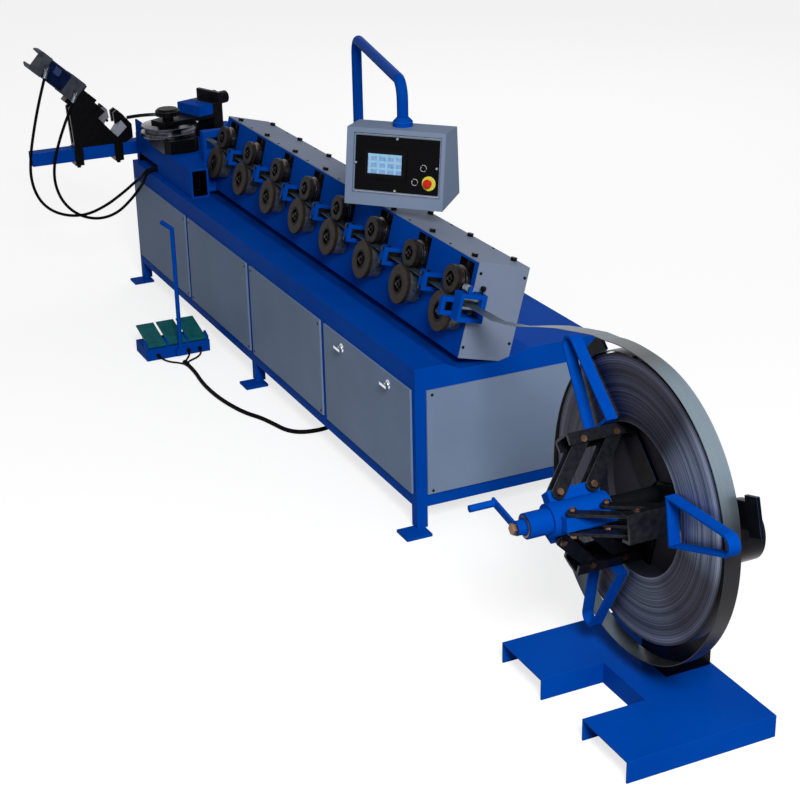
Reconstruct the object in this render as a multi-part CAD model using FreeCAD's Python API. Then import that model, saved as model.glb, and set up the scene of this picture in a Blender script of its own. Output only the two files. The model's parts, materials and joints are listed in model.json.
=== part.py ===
# Round flange forming machine: cabinet, eight-station roll stand, bending head,
# shear, pendant, pedal box and decoiler. Millimetres, +Z up, +X towards the
# decoiler, -Y is the operator's side. Origin: floor, centre of the anchor bolts.
import FreeCAD, Part
import math
import os

V = FreeCAD.Vector

# Cabinet
CAB_L = 3625.0
CAB_W = 813.0
FAR_X = -CAB_L / 2
NEAR_X = CAB_L / 2
CAB_FRONT_Y = -CAB_W / 2
CAB_TOP = 699.0
CAB_UNDER = 103.0
RIM_W = 134.0
TRAY_DROP = 33.0
TRAY_FLOOR_Y = -205.0
TRAY_BACK_Y = 104.0
TRAY_BACK_RUN = 136.0
LEG_SIZE = 47.5
FOOT_X = 99.0
FOOT_Y = 112.0
FOOT_T = 12.0
FOOT_SHIFT_X = 37.0
FOOT_SHIFT_Y = 43.0
ANCHOR_R = 8.0
ANCHOR_OUT = 72.0
PANEL_COUNT = 4
PANEL_GAP = 45.0
PANEL_NEAR_INSET = 30.5
PANEL_FAR_INSET = 39.5
PANEL_PITCH = (CAB_L - PANEL_NEAR_INSET - PANEL_FAR_INSET + PANEL_GAP) / PANEL_COUNT
PANEL_W = PANEL_PITCH - PANEL_GAP
PANEL_Z0 = 158.0
PANEL_Z1 = 605.0
PANEL_T = 8.5
END_PANEL_MARGIN = 47.0
LATCH_Z = 560.0
LATCH_SPREAD = 230.0
LATCH_R = 9.0
LATCH_WING = 62.0

# Roll stand, in its own tilted frame: x along the machine, y into the housing,
# z up the front face
TILT = 14.54
FACE_Y = -214.5
FACE_Z = 712.0
STAND_FAR_INSET = 843.5
STAND_NEAR_INSET = 8.5
STAND_X0 = FAR_X + STAND_FAR_INSET
STAND_X1 = NEAR_X - STAND_NEAR_INSET
STAND_H = 388.0
STAND_D = 228.0
PLATE_T = 20.0
COVER_T = 4.0
STATIONS = 8
STATION_FAR_MARGIN = 110.0
STATION_NEAR_MARGIN = 89.1
STATION_X = STAND_X0 + STATION_FAR_MARGIN
STATION_PITCH = (STAND_X1 - STATION_NEAR_MARGIN - STATION_X) / (STATIONS - 1)
LOWER_H = 157.5
UPPER_H = 291.0
SHAFT_R = 20.0
SHAFT_IN = 60.0
BORE_DEPTH = 66.0
FIT = 0.05
LOWER_R = 71.0
LOWER_DISC_R = 81.0
LOWER_OUT = 81.0
LOWER_DISC_T = 18.0
UPPER_R = 58.0
UPPER_WAIST_R = 49.0
UPPER_OUT = 60.5
ROLL_START = 4.0
WINDOW_W = 116.0
WINDOW_H0 = 244.0
WINDOW_H1 = 374.0
CHOCK_CLEAR = 0.3
CHOCK_H = 92.0
CHOCK_T = 18.0
SCREW_HEAD_R = 13.0
SCREW_HEAD_H = 14.0
SCREW_FRONT = 26.0
SCREW_REAR = 205.0

# Strip
STRIP_W = 58.0
STRIP_T = 1.6
STRIP_OFF = 3.5
PASS_H = 230.5
STRIP_TAIL = 161.0
STRIP_END_X = STAND_X0 - STRIP_TAIL

# Guides between the stations
GUIDE_X = 40.0
GUIDE_OUT = 85.0
GUIDE_WALL = 17.0
GUIDE_H0 = 193.0
GUIDE_H1 = 268.0
GUIDE_SHIFT = 190.0
ENTRY_L = 58.0
ENTRY_OUT = 80.0
ENTRY_IN = 34.0
ENTRY_H = (160.0, 272.0)
ENTRY_INNER_H = (178.0, 254.0)
ENTRY_FRONT_WALL = 12.0
ENTRY_REAR_WALL = 20.0
ENTRY_ROLLER_R = 14.0
ENTRY_ROLLER_CLEAR = 1.5

# Decoiler
COIL_X = STAND_X1 + 1401.0
COIL_Z = 725.0
COIL_FRONT_Y = -305.0
COIL_R = 475.0
COIL_BORE_R = 254.0
LOOP_SEAT = 1.0
BASE_Y0 = -580.0
BASE_Y1 = -20.0
BASE_H = 80.0
BASE_WALL = 6.0
LEG_A = (COIL_X - 369.0, COIL_X - 98.0)
LEG_B = (COIL_X + 162.0, COIL_X + 429.0)
CROSS_Y0 = -340.0
PED_X = COIL_X + 3.0
PED_HEAD_R = 95.0
PED_HEAD_LAP = 70.0
MOTOR_X = COIL_X + 45.0
MOTOR_Z = COIL_Z - 180.0
MOTOR_R = 105.0
MOTOR_BACK_Y = 110.0
PED_W = 150.0
PED_Y0 = -205.0
PED_Y1 = -30.0
SPINDLE_R = 30.0
ARM_BACK_GAP = 6.5
ARM_BAR_W = 40.0
ARM_BAR_T = 9.0
ARM_REACH = 578.0
ARM_ROOT_W = 165.0
ARM_TIP_W = 74.0
ARM_ANGLES = (10.0, 130.0, 250.0)
REAR_ARM_REACH = 560.0
REAR_ARM_T = 12.0
REAR_ARM_W = 90.0
REAR_ARM_LEAD = 6.0
REAR_ARM_GAP = 17.0
PAD_FRONT_Y = -485.0
PAD_REAR_Y = -235.0
PAD_W = 92.0
PAD_DEPTH = 44.0
PAD_WALL = 10.0
PAD_CLEAR = 0.3
PIVOT_R_PAD = 221.0
PIVOT_R_HUB = 72.0
PIVOT_Y_PAD = (-432.0, -309.0)
PIVOT_Y_HUB = (-572.0, -449.0)
LINK_W = 44.0
LINK_T = 9.0
LINK_GAP = 62.0
LUG_T = 44.0
PIN_R = 9.0
HUB_Y0 = -625.0
HUB_Y1 = -415.0
HUB_R = 55.0
COLLAR_Y0 = -705.0
HUB_COLLAR_R = 42.0
CRANK_Y = -722.0
CRANK_REACH = 145.0
CRANK_ANGLE = 10.0

# Far end
PLAT_Y0 = -377.0
PLAT_Y1 = 165.0
PLAT_X1 = FAR_X + 837.5
PLAT_NOSE_X1 = PLAT_X1 + 95.0
PLAT_NOSE_Y1 = -280.0
PLAT_TOP = 853.0
PLAT_WALL = 10.0
HOSE_DOOR_X = (FAR_X + 42.5, FAR_X + 372.5)
HOSE_DOOR_H = 50.0
HOSE_DOOR_D = 90.0
SIDE_PLATE_X = (FAR_X + 9.5, FAR_X + 132.5)
SIDE_PLATE_TOP = 930.0
STRIP_POST_X = (PLAT_X1 - 87.0, PLAT_X1 - 37.0)
STRIP_POST_Y = (-250.0, -138.0)
STRIP_POST_TOP = 1008.0
STRIP_POST_GAP = (912.0, 974.0)
BEAM_X0 = FAR_X - 80.0
BEAM_Y0 = -970.0
BEAM_Z0 = 732.0
BEAM_Z1 = 804.0
BEAM_WALL = 5.0
BEND_X = FAR_X + 407.5
BEND_Y = -310.0
BEND_BASE_X = (BEND_X - 145.0, BEND_X + 183.0)
BEND_BASE_Y = (-390.0, -200.0)
BEND_BASE_H = 71.7
BEND_SHAFT_R = 30.0
BEND_R = 150.0
BEND_GROOVE_R = 130.0
BEND_GROOVE = (22.0, 42.0)
BEND_H = 60.0
BRIDGE_GAP = 0.3
BRIDGE_T = 18.0
CAP_R = 66.0
CAP_LIFT = 24.0
CAP_H = 36.0
PRESS_TURN = 20.0
PRESS_U = (144.0, 170.0, 282.0, 304.0, 405.0)
PRESS_W = 190.0
PRESS_H = 56.0
PRESS_FLANGE_H = 108.0
PRESS_END_R = 34.0
RING_R = 250.0
RING_H = 19.0
RING_T = 2.0
RING_TURN = 30.0
RING_ANGLES = (20.0, 108.0, 196.0)
SHEAR_ANGLE = 43.0
SHEAR_CAP = (-706.0, 1135.0)
SHEAR_X = (BEAM_X0 + FAR_X) / 2
SHEAR_HALF = 40.0
SHEAR_SLOT = 20.0
SHEAR_SIDE = 0.3
SHEAR_BORE_R = 58.0
SHEAR_BLOCK = 61.0
SHEAR_CAP_D = (-52.0, 37.0)
SHEAR_REAR_D = (-240.0, -194.0)
SHEAR_FORK_D = -278.0
SHEAR_MOUNT_D = 48.0
SHEAR_MOUNT_HALF = 56.0
CLAMP_Y = (-710.0, -482.0)
CLAMP_DROP = 24.0
RAM_TRAVEL = 25.0

# Hoses from the shear's cylinder to the door in the platform, x from the cabinet's far end
HOSE_R = 8.0
SLEEVE_R = 11.0
SLEEVE_L = 56.0
ELBOW_R = 14.0
HOSES = [[(39.5, -868, 1220), (39.5, -893, 1150), (38.5, -928, 1040), (41.5, -962, 920),
          (46.5, -991, 800), (52.5, -1003, 680), (60.5, -977, 570), (67.5, -915, 493),
          (76.5, -820, 450), (88.5, -715, 446), (105.5, -605, 490), (125.5, -505, 558),
          (162.5, -440, 622), (227.5, -430, 656), (287.5, -432, 694), (322.5, -397, 726),
          (334.5, -345, 727), (336.5, -287.3, 727)],
         [(42.5, -727, 1072), (43.5, -750, 1025), (45.5, -786, 955), (50.5, -829, 860),
          (60.5, -868, 752), (75.5, -880, 640), (94.5, -846, 530), (114.5, -766, 452),
          (134.5, -664, 424), (157.5, -565, 450), (182.5, -485, 525), (217.5, -437, 598),
          (277.5, -434, 644), (320.5, -432, 694), (348.5, -397, 724), (358.5, -345, 725),
          (360.5, -287.3, 725)]]

# Cable from the pedal box to the cabinet
CABLE_R = 10.0
LEAD_R = 5.0
CABLE = [(-372, -633, 10.4), (-262, -629, 10.4), (-78, -650, 10.4), (98, -646, 10.4), (248, -625, 10.4),
         (370, -594, 10.4), (455, -551, 10.4), (550, -525, 10.4), (640, -503, 10.4), (693, -460, 10.4),
         (711, -398, 10.4), (712, -338, 11.0), (710, -296, 20.0), (708, -272, 45.0), (707, -266, 76.0),
         (706, -265, 102.4)]
PEDAL_LEADS = [[(-509.1, -733, 24), (-484, -730, 20), (-456, -714, 11), (-432, -689, 5.6), (-406, -657, 5.4),
                (-372, -638.2, 5.4)],
               [(-509.1, -572, 24), (-482, -575, 21), (-454, -590, 13), (-426, -609, 11), (-399, -625, 14),
                (-372, -633, 15.6)],
               [(-509.1, -512, 24), (-484, -514, 20), (-457, -526, 11), (-435, -553, 5.6), (-417, -586, 5.4),
                (-399, -613, 5.4), (-372, -627.8, 5.4)]]

# Pendant
POST_X = 68.0
POST_Y = 160.0
ARM_Z = 1633.0
TUBE_R = 24.0
TUBE_BEND = 75.0
PEND_X = 1031.0
PEND_Y = -65.0
COLLAR_Z = 1450.0
PEND_AZ = 47.3
PEND_W = 438.0
PEND_H = 314.0
PEND_FRONT = 75.0
PEND_TILT = 9.9
PEND_TOP_D = 119.0
PEND_BACK_D = 154.0
PEND_BACK_H = 289.0
COLLAR_R = 42.0
COLLAR_H = 36.0
COLLAR_NECK = 27.0
COLLAR_BAND = 20.0
POCKET_Y = (-188.0, 202.0)
POCKET_S = (20.0, 270.0)
POCKET_D = 12.0
PANEL_Y = (-181.0, 192.0)
PANEL_S = (31.0, 257.0)
PANEL_SHEET = 4.0
BEZEL_Y = (-144.0, 50.0)
BEZEL_S = (78.0, 208.0)
BEZEL_T = 6.0
SCREEN_Y = (-121.0, 29.0)
SCREEN_S = (103.0, 185.0)
KNOBS = ((126.0, 148.0), (90.0, 208.0))
KNOB_R = 14.0
STOP_AT = (151.0, 209.0)
STOP_DISC_R = 29.0
STOP_HEAD_R = 18.0
CATCHES = ((7.0, 37.0), (185.0, 145.0), (4.0, 251.0), (-175.0, 145.0))

# Pedal box
PEDAL_X0 = -690.0
PEDAL_X1 = PEDAL_X0 + 180.0
PEDAL_STANDOFF = 49.5
PEDAL_Y1 = CAB_FRONT_Y - PEDAL_STANDOFF
PEDAL_Y0 = PEDAL_Y1 - 336.0
PEDAL_H = 60.0
PEDAL_EAR = 13.0
PEDAL_CHEEK = 34.0
PEDAL_STEP = 107.0
PEDAL_RISE = 50.0
PEDAL_OVER = 26.0
PEDAL_SLOT = (18.0, 28.0)
HINGE_X = PEDAL_X1 - 14.0
HINGE_Z = PEDAL_H + 11.0
HINGE_R = 5.0
HANDLE_R = 11.0
HANDLE_Y = PEDAL_Y0 + 176.0
HANDLE_TOP = 677.0
HANDLE_BEND = (-52.0, 44.0)


def box(x0, x1, y0, y1, z0, z1):
    return Part.makeBox(x1 - x0, y1 - y0, z1 - z0, V(x0, y0, z0))


def rod(p0, p1, r):
    a = V(*p0)
    d = V(*p1) - a
    return Part.makeCylinder(r, d.Length, a, d)


def prism(points, vector):
    wire = Part.makePolygon([V(*p) for p in points] + [V(*points[0])])
    return Part.Face(wire).extrude(V(*vector))


def tilted(shape):
    """Take a shape from the roll stand's frame to the machine's frame."""
    out = shape.copy()
    out.rotate(V(0, 0, 0), V(1, 0, 0), -TILT)
    out.translate(V(0, FACE_Y, FACE_Z))
    return out


def save(name, shapes):
    shape = shapes if isinstance(shapes, Part.Shape) else Part.makeCompound(shapes)
    if not shape.isValid():
        print("not valid:", name)
    shape.exportStep("parts/%s.step" % name)


def mirror_y(shape):
    return shape.mirror(V(0, 0, 0), V(0, 1, 0))


def station_x(i):
    return STATION_X + i * STATION_PITCH


def cabinet_body():
    half_l = CAB_L / 2
    half_w = CAB_W / 2
    floor_z = CAB_TOP - TRAY_DROP
    profile = [(-half_w, CAB_UNDER), (half_w, CAB_UNDER), (half_w, CAB_TOP),
               (TRAY_BACK_Y, CAB_TOP), (TRAY_BACK_Y - TRAY_BACK_RUN, floor_z),
               (TRAY_FLOOR_Y, floor_z), (-half_w + RIM_W, CAB_TOP), (-half_w, CAB_TOP)]
    return prism([(-half_l, y, z) for y, z in profile], (CAB_L, 0, 0))


def foot(leg_x, side):
    """One leg with its foot plate; side is -1 at the front and +1 at the back."""
    leg_y = side * (CAB_W - LEG_SIZE) / 2
    half = LEG_SIZE / 2
    leg = box(leg_x - half, leg_x + half, leg_y - half, leg_y + half, FOOT_T, CAB_UNDER)
    px = leg_x + FOOT_SHIFT_X
    py = leg_y + side * FOOT_SHIFT_Y
    plate = box(px - FOOT_X / 2, px + FOOT_X / 2, py - FOOT_Y / 2, py + FOOT_Y / 2, 0, FOOT_T)
    ay = leg_y + side * ANCHOR_OUT
    hole = rod((leg_x, ay, -1), (leg_x, ay, FOOT_T + 1), ANCHOR_R)
    return leg.fuse(plate).cut(hole)


def cabinet_feet():
    end = (CAB_L - LEG_SIZE) / 2
    return [foot(x, side) for x in (-end, 0, end) for side in (-1, 1)]


def panel(right_x, front=True):
    y0 = -CAB_W / 2 - PANEL_T
    shape = box(right_x - PANEL_W, right_x, y0, -CAB_W / 2, PANEL_Z0, PANEL_Z1)
    return shape if front else mirror_y(shape)


def panel_right(i):
    """Right edge of front panel i, counted from the near end."""
    return CAB_L / 2 - PANEL_NEAR_INSET - i * PANEL_PITCH


def end_panel(side):
    half_w = CAB_W / 2 - END_PANEL_MARGIN
    x0 = side * CAB_L / 2
    x1 = x0 + side * PANEL_T
    return box(min(x0, x1), max(x0, x1), -half_w, half_w, PANEL_Z0, PANEL_Z1)


def latch(x):
    """Wing latch: a round stem with a cross wing, turning about Y."""
    y0 = -CAB_W / 2 - PANEL_T
    stem = rod((x, y0, LATCH_Z), (x, y0 - 16, LATCH_Z), LATCH_R)
    wing = box(x - LATCH_WING / 2, x + LATCH_WING / 2, y0 - 26, y0 - 14, LATCH_Z - 6, LATCH_Z + 6)
    return stem.fuse(wing)


def latch_x(side):
    return panel_right(0) - PANEL_W / 2 + side * LATCH_SPREAD


def roll_housing():
    body = box(STAND_X0, STAND_X1, PLATE_T, STAND_D, 0, STAND_H - COVER_T)
    for i in range(STATIONS):
        for h in (LOWER_H, UPPER_H):
            body = body.cut(rod((station_x(i), PLATE_T - 1, h), (station_x(i), BORE_DEPTH, h), SHAFT_R + 2))
    return tilted(body).cut(cabinet_body())


def front_plate():
    plate = box(STAND_X0, STAND_X1, 0, PLATE_T, 0, STAND_H - COVER_T)
    for i in range(STATIONS):
        x = station_x(i)
        plate = plate.cut(rod((x, -1, LOWER_H), (x, PLATE_T + 1, LOWER_H), SHAFT_R + FIT))
        plate = plate.cut(box(x - WINDOW_W / 2, x + WINDOW_W / 2, -1, PLATE_T + 1, WINDOW_H0, WINDOW_H1))
    return tilted(plate)


def chock(i):
    x = station_x(i)
    half = WINDOW_W / 2 - CHOCK_CLEAR
    z0 = WINDOW_H0
    block = box(x - half, x + half, PLATE_T - CHOCK_T, PLATE_T, z0, z0 + CHOCK_H)
    screw = rod((x, PLATE_T / 2 + 1, z0 + CHOCK_H), (x, PLATE_T / 2 + 1, WINDOW_H1), 7)
    bore = rod((x, -1, UPPER_H), (x, PLATE_T + 1, UPPER_H), SHAFT_R + FIT)
    return tilted(block.fuse(screw).cut(bore))


def stand_covers():
    top = box(STAND_X0, STAND_X1, 0, STAND_D, STAND_H - COVER_T, STAND_H)
    end = box(STAND_X1, STAND_X1 + COVER_T, 0, STAND_D, 0, STAND_H)
    return tilted(top.fuse(end)).cut(cabinet_body())


def adjusting_screws():
    heads = []
    for i in range(STATIONS):
        for y in (SCREW_FRONT, SCREW_REAR):
            p0 = (station_x(i), y, STAND_H)
            p1 = (station_x(i), y, STAND_H + SCREW_HEAD_H)
            heads.append(tilted(rod(p0, p1, SCREW_HEAD_R)))
    return heads


def revolve_out(x, h, outline):
    """Turn an outline of (radius, distance out of the face) about a roll axis."""
    wire = Part.makePolygon([V(x + r, -d, h) for r, d in outline + outline[:1]])
    return Part.Face(wire).revolve(V(x, 0, h), V(0, 1, 0), 360)


def lower_roll(i):
    back = LOWER_OUT - LOWER_DISC_T
    outline = [(0, -SHAFT_IN), (SHAFT_R, -SHAFT_IN), (SHAFT_R, ROLL_START), (LOWER_R, ROLL_START),
               (LOWER_R, back), (LOWER_DISC_R, back), (LOWER_DISC_R, LOWER_OUT - 2),
               (LOWER_DISC_R - 2, LOWER_OUT), (34, LOWER_OUT), (34, LOWER_OUT - 10),
               (17, LOWER_OUT - 10), (17, LOWER_OUT - 2), (0, LOWER_OUT - 2)]
    return tilted(revolve_out(station_x(i), LOWER_H, outline))


def upper_roll(i):
    outline = [(0, -SHAFT_IN), (SHAFT_R, -SHAFT_IN), (SHAFT_R, ROLL_START), (UPPER_R, ROLL_START),
               (UPPER_R, 18), (UPPER_WAIST_R, 22), (UPPER_WAIST_R, 34), (UPPER_R, 38),
               (UPPER_R, UPPER_OUT - 2), (UPPER_R - 2, UPPER_OUT), (30, UPPER_OUT),
               (30, UPPER_OUT - 10), (15, UPPER_OUT - 10), (15, UPPER_OUT), (0, UPPER_OUT)]
    return tilted(revolve_out(station_x(i), UPPER_H, outline))


def side_guide(i):
    """C-shaped frame on the front plate that the strip runs through."""
    x = station_x(i) + GUIDE_SHIFT
    outer = box(x - GUIDE_X / 2, x + GUIDE_X / 2, -GUIDE_OUT, 0, GUIDE_H0, GUIDE_H1)
    inner = box(x - GUIDE_X, x + GUIDE_X, -GUIDE_OUT + GUIDE_WALL, 1,
                GUIDE_H0 + GUIDE_WALL, GUIDE_H1 - GUIDE_WALL)
    return tilted(outer.cut(inner))


def entry_guide():
    x0 = STAND_X1 + COVER_T
    y0 = -ENTRY_OUT + ENTRY_FRONT_WALL
    y1 = ENTRY_IN - ENTRY_REAR_WALL
    outer = box(x0, x0 + ENTRY_L, -ENTRY_OUT, ENTRY_IN, ENTRY_H[0], ENTRY_H[1])
    inner = box(x0 - 1, x0 + ENTRY_L + 1, y0, y1, ENTRY_INNER_H[0], ENTRY_INNER_H[1])
    shapes = [tilted(outer.cut(inner))]
    x = x0 + ENTRY_L / 2 + 1
    reach = ENTRY_ROLLER_CLEAR + ENTRY_ROLLER_R
    for h in (PASS_H - reach, PASS_H + STRIP_T + reach):
        shapes.append(tilted(rod((x, y0, h), (x, y1, h), ENTRY_ROLLER_R)))
    return shapes


def stand_point(x, out, h):
    """A point given in the stand's frame, out of the face being positive."""
    t = math.radians(TILT)
    y = FACE_Y + h * math.sin(t) - out * math.cos(t)
    z = FACE_Z + h * math.cos(t) + out * math.sin(t)
    return V(x, y, z)


def strip_section(x, y, z, twist, slope):
    """Rectangle across the strip: twist is its cross fall, slope its climb."""
    t = math.radians(twist)
    s = math.radians(slope)
    across = V(0, math.cos(t), -math.sin(t))
    up = V(-math.sin(s), math.sin(t), math.cos(t) * math.cos(s))
    c = V(x, y, z)
    w = across * (STRIP_W / 2)
    h = up * (STRIP_T / 2)
    return Part.makePolygon([c - w - h, c + w - h, c + w + h, c - w + h, c - w - h])


LEAD_X = STAND_X1 + 96.0
LEAD = [(LEAD_X + 190.0, -190.5, 952.0, 12.0, 8.0), (LEAD_X + 396.0, -202.0, 1000.0, 8.5, 16.0),
        (LEAD_X + 574.0, -222.0, 1062.0, 5.0, 19.5), (LEAD_X + 751.0, -250.0, 1122.0, 2.0, 17.0),
        (LEAD_X + 910.0, -270.0, 1166.0, 0.0, 15.0), (LEAD_X + 1025.0, -275.0, 1193.0, 0.0, 10.0)]
LOOP_T = 3.0
LOOP_TURN = [(112.0, 516.0), (104.0, 503.0), (95.0, 492.0), (85.0, 487.0), (70.0, 486.0),
             (45.0, 486.0), (20.0, 487.0), (0.0, 491.0), (-22.0, 503.0), (-45.0, 523.0),
             (-67.0, 546.0), (-90.0, 564.0), (-112.0, 573.0), (-135.0, 561.0), (-158.0, 531.0),
             (-180.0, 503.0), (-202.0, 490.0), (-225.0, 487.0), (-247.0, 484.0)]
LOOP_END = -265.0
LEAD_GAP = 0.2
LEAD_END_SLOPE = 5.0


def lead_strip():
    centre = stand_point(0, STRIP_OFF + STRIP_W / 2, PASS_H + STRIP_T / 2)
    straight = tilted(box(STRIP_END_X, LEAD_X, -STRIP_OFF - STRIP_W, -STRIP_OFF,
                          PASS_H, PASS_H + STRIP_T))
    a = math.radians(LOOP_TURN[0][0])
    r = LOOP_TURN[0][1] - LOOP_T / 2
    end_x = COIL_X + r * math.cos(a) - LEAD_GAP * math.sin(a)
    end_z = COIL_Z + r * math.sin(a) + LEAD_GAP * math.cos(a)
    end = (end_x, COIL_FRONT_Y + STRIP_W / 2, end_z, 0.0, LEAD_END_SLOPE)
    rows = [(LEAD_X, centre.y, centre.z, TILT, 0.0)] + LEAD + [end]
    loft = Part.makeLoft([strip_section(*row) for row in rows], True, True)
    return Part.makeCompound([straight, loft])


def strip_loop():
    """The loose outer turn: it leaves the coil at the right and hangs away below and at the left."""
    turn = LOOP_TURN + [(LOOP_END, COIL_R + LOOP_SEAT + LOOP_T)]
    edges = []
    for inset in (0.0, LOOP_T):
        points = []
        for degrees, radius in turn:
            a = math.radians(degrees)
            r = radius - inset
            points.append(V(COIL_X + r * math.cos(a), COIL_FRONT_Y, COIL_Z + r * math.sin(a)))
        curve = Part.BSplineCurve()
        curve.interpolate(points)
        edges.append((curve.toShape(), points[0], points[-1]))
    (outer, o0, o1), (inner, i0, i1) = edges
    rim = Part.Wire([outer, Part.makeLine(o1, i1), inner, Part.makeLine(i0, o0)])
    return Part.Face(rim).extrude(V(0, STRIP_W, 0))


def channel_y(x0, x1, y0, y1):
    outer = box(x0, x1, y0, y1, 0, BASE_H)
    inner = box(x0 + BASE_WALL, x1 - BASE_WALL, y0 - 1, y1 + 1, -1, BASE_H - BASE_WALL)
    return outer.cut(inner)


def decoiler_base():
    leg_a = channel_y(LEG_A[0], LEG_A[1], BASE_Y0, BASE_Y1)
    leg_b = channel_y(LEG_B[0], LEG_B[1], BASE_Y0, BASE_Y1)
    cross = box(LEG_A[1], LEG_B[0], CROSS_Y0, BASE_Y1, 0, BASE_H)
    hollow = box(LEG_A[1] - 1, LEG_B[0] + 1, CROSS_Y0 + BASE_WALL, BASE_Y1 - BASE_WALL,
                 -1, BASE_H - BASE_WALL)
    return leg_a.fuse(leg_b).fuse(cross.cut(hollow))


def decoiler_pedestal():
    half = PED_W / 2
    column = box(PED_X - half, PED_X + half, PED_Y0, PED_Y1, BASE_H, COIL_Z - PED_HEAD_LAP)
    head = rod((COIL_X, PED_Y0, COIL_Z), (COIL_X, PED_Y1, COIL_Z), PED_HEAD_R)
    bore = rod((COIL_X, PED_Y0 - 1, COIL_Z), (COIL_X, PED_Y1 + 1, COIL_Z), SPINDLE_R + FIT)
    motor = rod((MOTOR_X, PED_Y1, MOTOR_Z), (MOTOR_X, MOTOR_BACK_Y, MOTOR_Z), MOTOR_R)
    return column.fuse(head).cut(bore).fuse(motor)


def about_axis(shape, degrees):
    out = shape.copy()
    out.rotate(V(COIL_X, 0, COIL_Z), V(0, 1, 0), -degrees)
    return out


def mandrel():
    spindle = rod((COIL_X, CRANK_Y + 12, COIL_Z), (COIL_X, PED_Y1 - 5, COIL_Z), SPINDLE_R)
    hub = rod((COIL_X, HUB_Y0, COIL_Z), (COIL_X, HUB_Y1, COIL_Z), HUB_R)
    collar = rod((COIL_X, COLLAR_Y0, COIL_Z), (COIL_X, HUB_Y0, COIL_Z), HUB_COLLAR_R)
    shape = spindle.fuse(hub).fuse(collar)
    for a in ARM_ANGLES:
        lug = box(COIL_X, COIL_X + PIVOT_R_HUB + 16, HUB_Y0 + 20, HUB_Y1 - 8,
                  COIL_Z - LUG_T / 2, COIL_Z + LUG_T / 2)
        for y in PIVOT_Y_HUB:
            x = COIL_X + PIVOT_R_HUB
            lug = lug.cut(rod((x, y, COIL_Z - LUG_T), (x, y, COIL_Z + LUG_T), PIN_R + FIT))
        shape = shape.fuse(about_axis(lug, a))
    return shape


def pad():
    """Channel-shaped mandrel segment, lying along +X from the axis."""
    r1 = COIL_BORE_R - PAD_CLEAR
    r0 = r1 - PAD_DEPTH
    half = PAD_W / 2
    body = box(COIL_X + r0, COIL_X + r1, PAD_FRONT_Y, PAD_REAR_Y, COIL_Z - half, COIL_Z + half)
    slot = box(COIL_X + r0 - 1, COIL_X + r1 - PAD_WALL, PAD_FRONT_Y - 1, PAD_REAR_Y + 1,
               COIL_Z - half + PAD_WALL, COIL_Z + half - PAD_WALL)
    round_off = Part.makeCylinder(r1, PAD_REAR_Y - PAD_FRONT_Y, V(COIL_X, PAD_FRONT_Y, COIL_Z), V(0, 1, 0))
    return body.cut(slot).common(round_off)


def link(k, side):
    """Flat link from hub pivot k to pad pivot k, on one side of the lug."""
    z0 = COIL_Z + side * LINK_GAP / 2 - LINK_T / 2
    a = V(COIL_X + PIVOT_R_HUB, PIVOT_Y_HUB[k], z0)
    b = V(COIL_X + PIVOT_R_PAD, PIVOT_Y_PAD[k], z0)
    d = b - a
    n = V(-d.y, d.x, 0).normalize() * (LINK_W / 2)
    bar = prism([tuple(a + n), tuple(b + n), tuple(b - n), tuple(a - n)], (0, 0, LINK_T))
    for p in (a, b):
        bar = bar.fuse(Part.makeCylinder(LINK_W / 2, LINK_T, p, V(0, 0, 1)))
    return bar


def link_set():
    """The four links of one segment with their two hub pins and two pad pins."""
    shape = None
    for k in (0, 1):
        for side in (-1, 1):
            bar = link(k, side)
            shape = bar if shape is None else shape.fuse(bar)
        for r, y in ((PIVOT_R_HUB, PIVOT_Y_HUB[k]), (PIVOT_R_PAD, PIVOT_Y_PAD[k])):
            span = LINK_GAP / 2 + LINK_T
            shape = shape.fuse(rod((COIL_X + r, y, COIL_Z - span), (COIL_X + r, y, COIL_Z + span), PIN_R))
    return shape


def mandrel_segments():
    one = pad().fuse(link_set())
    return [about_axis(one, a) for a in ARM_ANGLES]


def front_arm():
    """Loop of flat bar, wide at the root and round at the tip, along +X."""
    y1 = COIL_FRONT_Y - ARM_BACK_GAP
    y0 = y1 - ARM_BAR_W
    r0 = COIL_BORE_R - PAD_CLEAR
    tip_r = ARM_TIP_W / 2
    tip_x = ARM_REACH - tip_r

    def loop(inset):
        half0 = ARM_ROOT_W / 2 - inset
        rt = tip_r - inset
        xa = COIL_X + r0 + inset
        xb = COIL_X + tip_x
        edges = [Part.makeLine(V(xa, y0, COIL_Z - half0), V(xa, y0, COIL_Z + half0)),
                 Part.makeLine(V(xa, y0, COIL_Z + half0), V(xb, y0, COIL_Z + rt)),
                 Part.Arc(V(xb, y0, COIL_Z + rt), V(xb + rt, y0, COIL_Z),
                          V(xb, y0, COIL_Z - rt)).toShape(),
                 Part.makeLine(V(xb, y0, COIL_Z - rt), V(xa, y0, COIL_Z - half0))]
        return Part.Face(Part.Wire(edges)).extrude(V(0, ARM_BAR_W, 0))
    shape = loop(0).cut(loop(ARM_BAR_T))
    foot_bar = box(COIL_X + r0, COIL_X + r0 + ARM_BAR_T, y0, y1, COIL_Z - 40, COIL_Z + 40)
    return shape.fuse(foot_bar)


def rear_arm():
    y0 = COIL_FRONT_Y + STRIP_W + REAR_ARM_GAP
    half = REAR_ARM_W / 2
    bar = box(COIL_X + SPINDLE_R, COIL_X + REAR_ARM_REACH, y0, y0 + REAR_ARM_T, COIL_Z - half, COIL_Z + half)
    tip = box(COIL_X + REAR_ARM_REACH - 60, COIL_X + REAR_ARM_REACH, y0, y0 + REAR_ARM_T,
              COIL_Z - 64, COIL_Z + 64)
    return about_axis(bar.fuse(tip), REAR_ARM_LEAD)


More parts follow.
